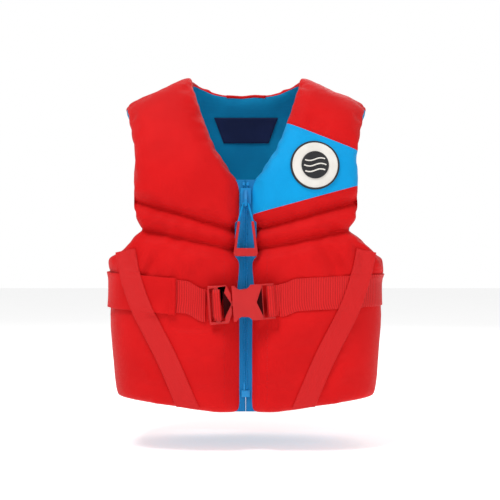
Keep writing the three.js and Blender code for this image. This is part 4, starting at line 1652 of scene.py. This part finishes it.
@dataclass
class Stitching:
    """Rows of stitches along the seams, beside the zip and along the straps."""

    length: float = 3.0 * MM
    gap: float = 1.4 * MM
    radius: float = 0.32 * MM

    def row(self, bm: bmesh.types.BMesh, points: Sequence[Vector], surface: Surface) -> None:
        """Adds one row of stitches along points seen from the front."""
        lengths = run_lengths(points)
        pitch = self.length + self.gap
        for index in range(int(lengths[-1] / pitch)):
            ends = []
            for place in (index * pitch, index * pitch + self.length):
                slot = max(k for k in range(len(lengths)) if lengths[k] <= place)
                slot = min(slot, len(points) - 2)
                span = lengths[slot + 1] - lengths[slot]
                point = points[slot].lerp(points[slot + 1], (place - lengths[slot]) / span)
                distance = surface.hit(Vector((point.x, -OUTSIDE, point.z)), Vector((0, 1, 0)))
                if distance is None:
                    break
                ends.append(Vector((point.x, -OUTSIDE + distance, point.z)))
            if len(ends) == 2 and (ends[0] - ends[1]).length < 2 * self.length:
                self.stitch(bm, *ends)

    def stitch(self, bm: bmesh.types.BMesh, start: Vector, end: Vector) -> None:
        """Adds one stitch, a small rounded bar."""
        along = end - start
        made = bmesh.ops.create_icosphere(bm, subdivisions=1, radius=1.0)["verts"]
        bmesh.ops.scale(bm, vec=(self.radius, self.radius, along.length / 2), verts=made)
        turn = along.to_track_quat("Z", "Y").to_matrix().to_4x4()
        bmesh.ops.transform(bm, matrix=Matrix.Translation((start + end) / 2) @ turn, verts=made)

    def build(self, surface: Surface) -> None:
        """Sews the fronts."""
        bm = bmesh.new()
        for side in Side:
            for offset in (4.0 * MM, 7.5 * MM):
                self.row(bm, self.seam_points(UPPER_SEAM, side, offset, 14 * MM, 128 * MM), surface)
            self.row(bm, self.edge_points(side), surface)
            points = smooth_run(
                [Vector((x * side.value * MM, 0, HEM + z * MM)) for x, z in STRAP_ROUTE], 60
            )
            for shift in (-1, 1):
                self.row(bm, self.shifted(points, shift * (STRAP_WIDTH / 2 - 2.2 * MM)), surface)
        self.row(bm, self.seam_points(YOKE_TOP, Side.LEFT, 3 * MM, 56 * MM, 134 * MM), surface)
        self.row(bm, self.seam_points(YOKE_BOTTOM, Side.LEFT, -3 * MM, 14 * MM, 128 * MM), surface)
        made = piece_from(bm, "front_stitching", "thread_red")
        finish_piece(made, "vest", "shell_red")

    def seam_points(
        self, seam: SeamLine, side: Side, offset: float, start: float, end: float
    ) -> list[Vector]:
        """Points a little above a seam, from near the zip to the armhole."""
        xs = [start + (end - start) * step / 20 for step in range(21)]
        return [Vector((x * side.value, 0, seam.height(x) + offset)) for x in xs]

    def edge_points(self, side: Side) -> list[Vector]:
        """Points beside the zip, from the hem to the neck."""
        return [
            Vector((side.value * 25 * MM, 0, HEM + (14 + 205 * step / 40) * MM)) for step in range(41)
        ]

    def shifted(self, points: Sequence[Vector], distance: float) -> list[Vector]:
        """Points moved sideways, seen from the front."""
        result = []
        for index, point in enumerate(points):
            ahead = points[min(index + 1, len(points) - 1)] - points[max(index - 1, 0)]
            ahead.normalize()
            result.append(point + Vector((-ahead.z, 0.0, ahead.x)) * distance)
        return result


# ---------------------------------------------------------------- stage


@dataclass
class Stage:
    """Floor, lights and camera."""

    distance: float = 1.5
    width_at_distance: float = 0.622
    floor_drop: float = 45 * MM

    def build(self) -> None:
        """Builds the floor, the lights and the camera."""
        self.floor()
        self.lights()
        self.camera()
        scene = bpy.context.scene
        scene.view_settings.view_transform = "Standard"

    def floor(self) -> None:
        """A flat pale floor below the hem."""
        bm = bmesh.new()
        bmesh.ops.create_grid(bm, x_segments=2, y_segments=2, size=6.0)
        bmesh.ops.translate(bm, vec=(0, 0, HEM - self.floor_drop), verts=bm.verts)
        material, tree, shader = new_material("pale floor")
        place = tree.add("ShaderNodeTexCoord").outputs["Object"]
        share = tree.noise(place, 3.0)
        white = tree.mix(share, colour(0.86, 0.86, 0.86), colour(0.9, 0.9, 0.9))
        tree.tree.links.new(white, shader.inputs["Base Color"])
        shader.inputs["Roughness"].default_value = 0.9
        shader.inputs["Specular IOR Level"].default_value = 0.1
        shader.inputs["Emission Color"].default_value = colour(1.0, 1.0, 1.0)
        shader.inputs["Emission Strength"].default_value = 0.5
        MATERIALS["floor"] = material
        piece_from(bm, "studio_floor", "floor")

    def lights(self) -> None:
        """A white surround, a large key light from the upper left and a soft fill."""
        world = bpy.data.worlds.new("studio")
        world.use_nodes = True
        tree = Tree(world.node_tree)
        background = world.node_tree.nodes["Background"]
        background.inputs["Color"].default_value = colour(1.0, 1.0, 1.0)
        seen = tree.add("ShaderNodeLightPath").outputs["Is Camera Ray"]
        strength = tree.math("ADD", tree.math("MULTIPLY", seen, 0.54), 0.46)
        world.node_tree.links.new(strength, background.inputs["Strength"])
        bpy.context.scene.world = world
        target = Vector((0.0, 0.0, HEM + 0.2))
        for name, place, size, power in (
            ("key", Vector((-0.6, -0.95, 1.5)), 0.7, 24.0),
            ("fill", Vector((1.2, -1.3, 0.3)), 1.4, 5.0),
            ("rim", Vector((0.3, 1.4, 0.9)), 1.0, 10.0),
        ):
            data = bpy.data.lights.new(name, "AREA")
            data.shape = "DISK"
            data.size = size
            data.energy = power
            lamp = bpy.data.objects.new(name, data)
            turn = (target - place).to_track_quat("-Z", "Y").to_matrix().to_4x4()
            lamp.matrix_world = Matrix.Translation(place) @ turn
            bpy.context.scene.collection.objects.link(lamp)

    def camera(self) -> None:
        """A level camera in front of the jacket."""
        data = bpy.data.cameras.new("front_camera")
        data.sensor_width = 36.0
        data.lens = data.sensor_width * self.distance / self.width_at_distance
        made = bpy.data.objects.new("front_camera", data)
        made.location = (5 * MM, -self.distance, HEM + 192.5 * MM)
        made.rotation_euler = (math.pi / 2, 0, 0)
        bpy.context.scene.collection.objects.link(made)
        bpy.context.scene.camera = made


def main() -> None:
    """Builds the jacket in order: stage, padded panels, then what lies on them."""
    logging.basicConfig(level=logging.INFO, format="%(message)s")
    Stage().build()
    padded = PaddedBody()
    padded.build()
    panels = [made for name, made in padded.pieces.items() if "lining" not in name]
    outer = Surface(panels)
    back_lining = Surface([padded.pieces["back_lining"]])
    belted = Surface([*panels, *WaistBelt().build(outer)])
    DiagonalStraps().build(belted)
    Buckle().build()
    Zip().build()
    Badge().build(outer)
    SizeLabel().build(back_lining)
    NeckBinding().build(outer)
    Stitching().build(outer)


if __name__ == "__main__":
    main()
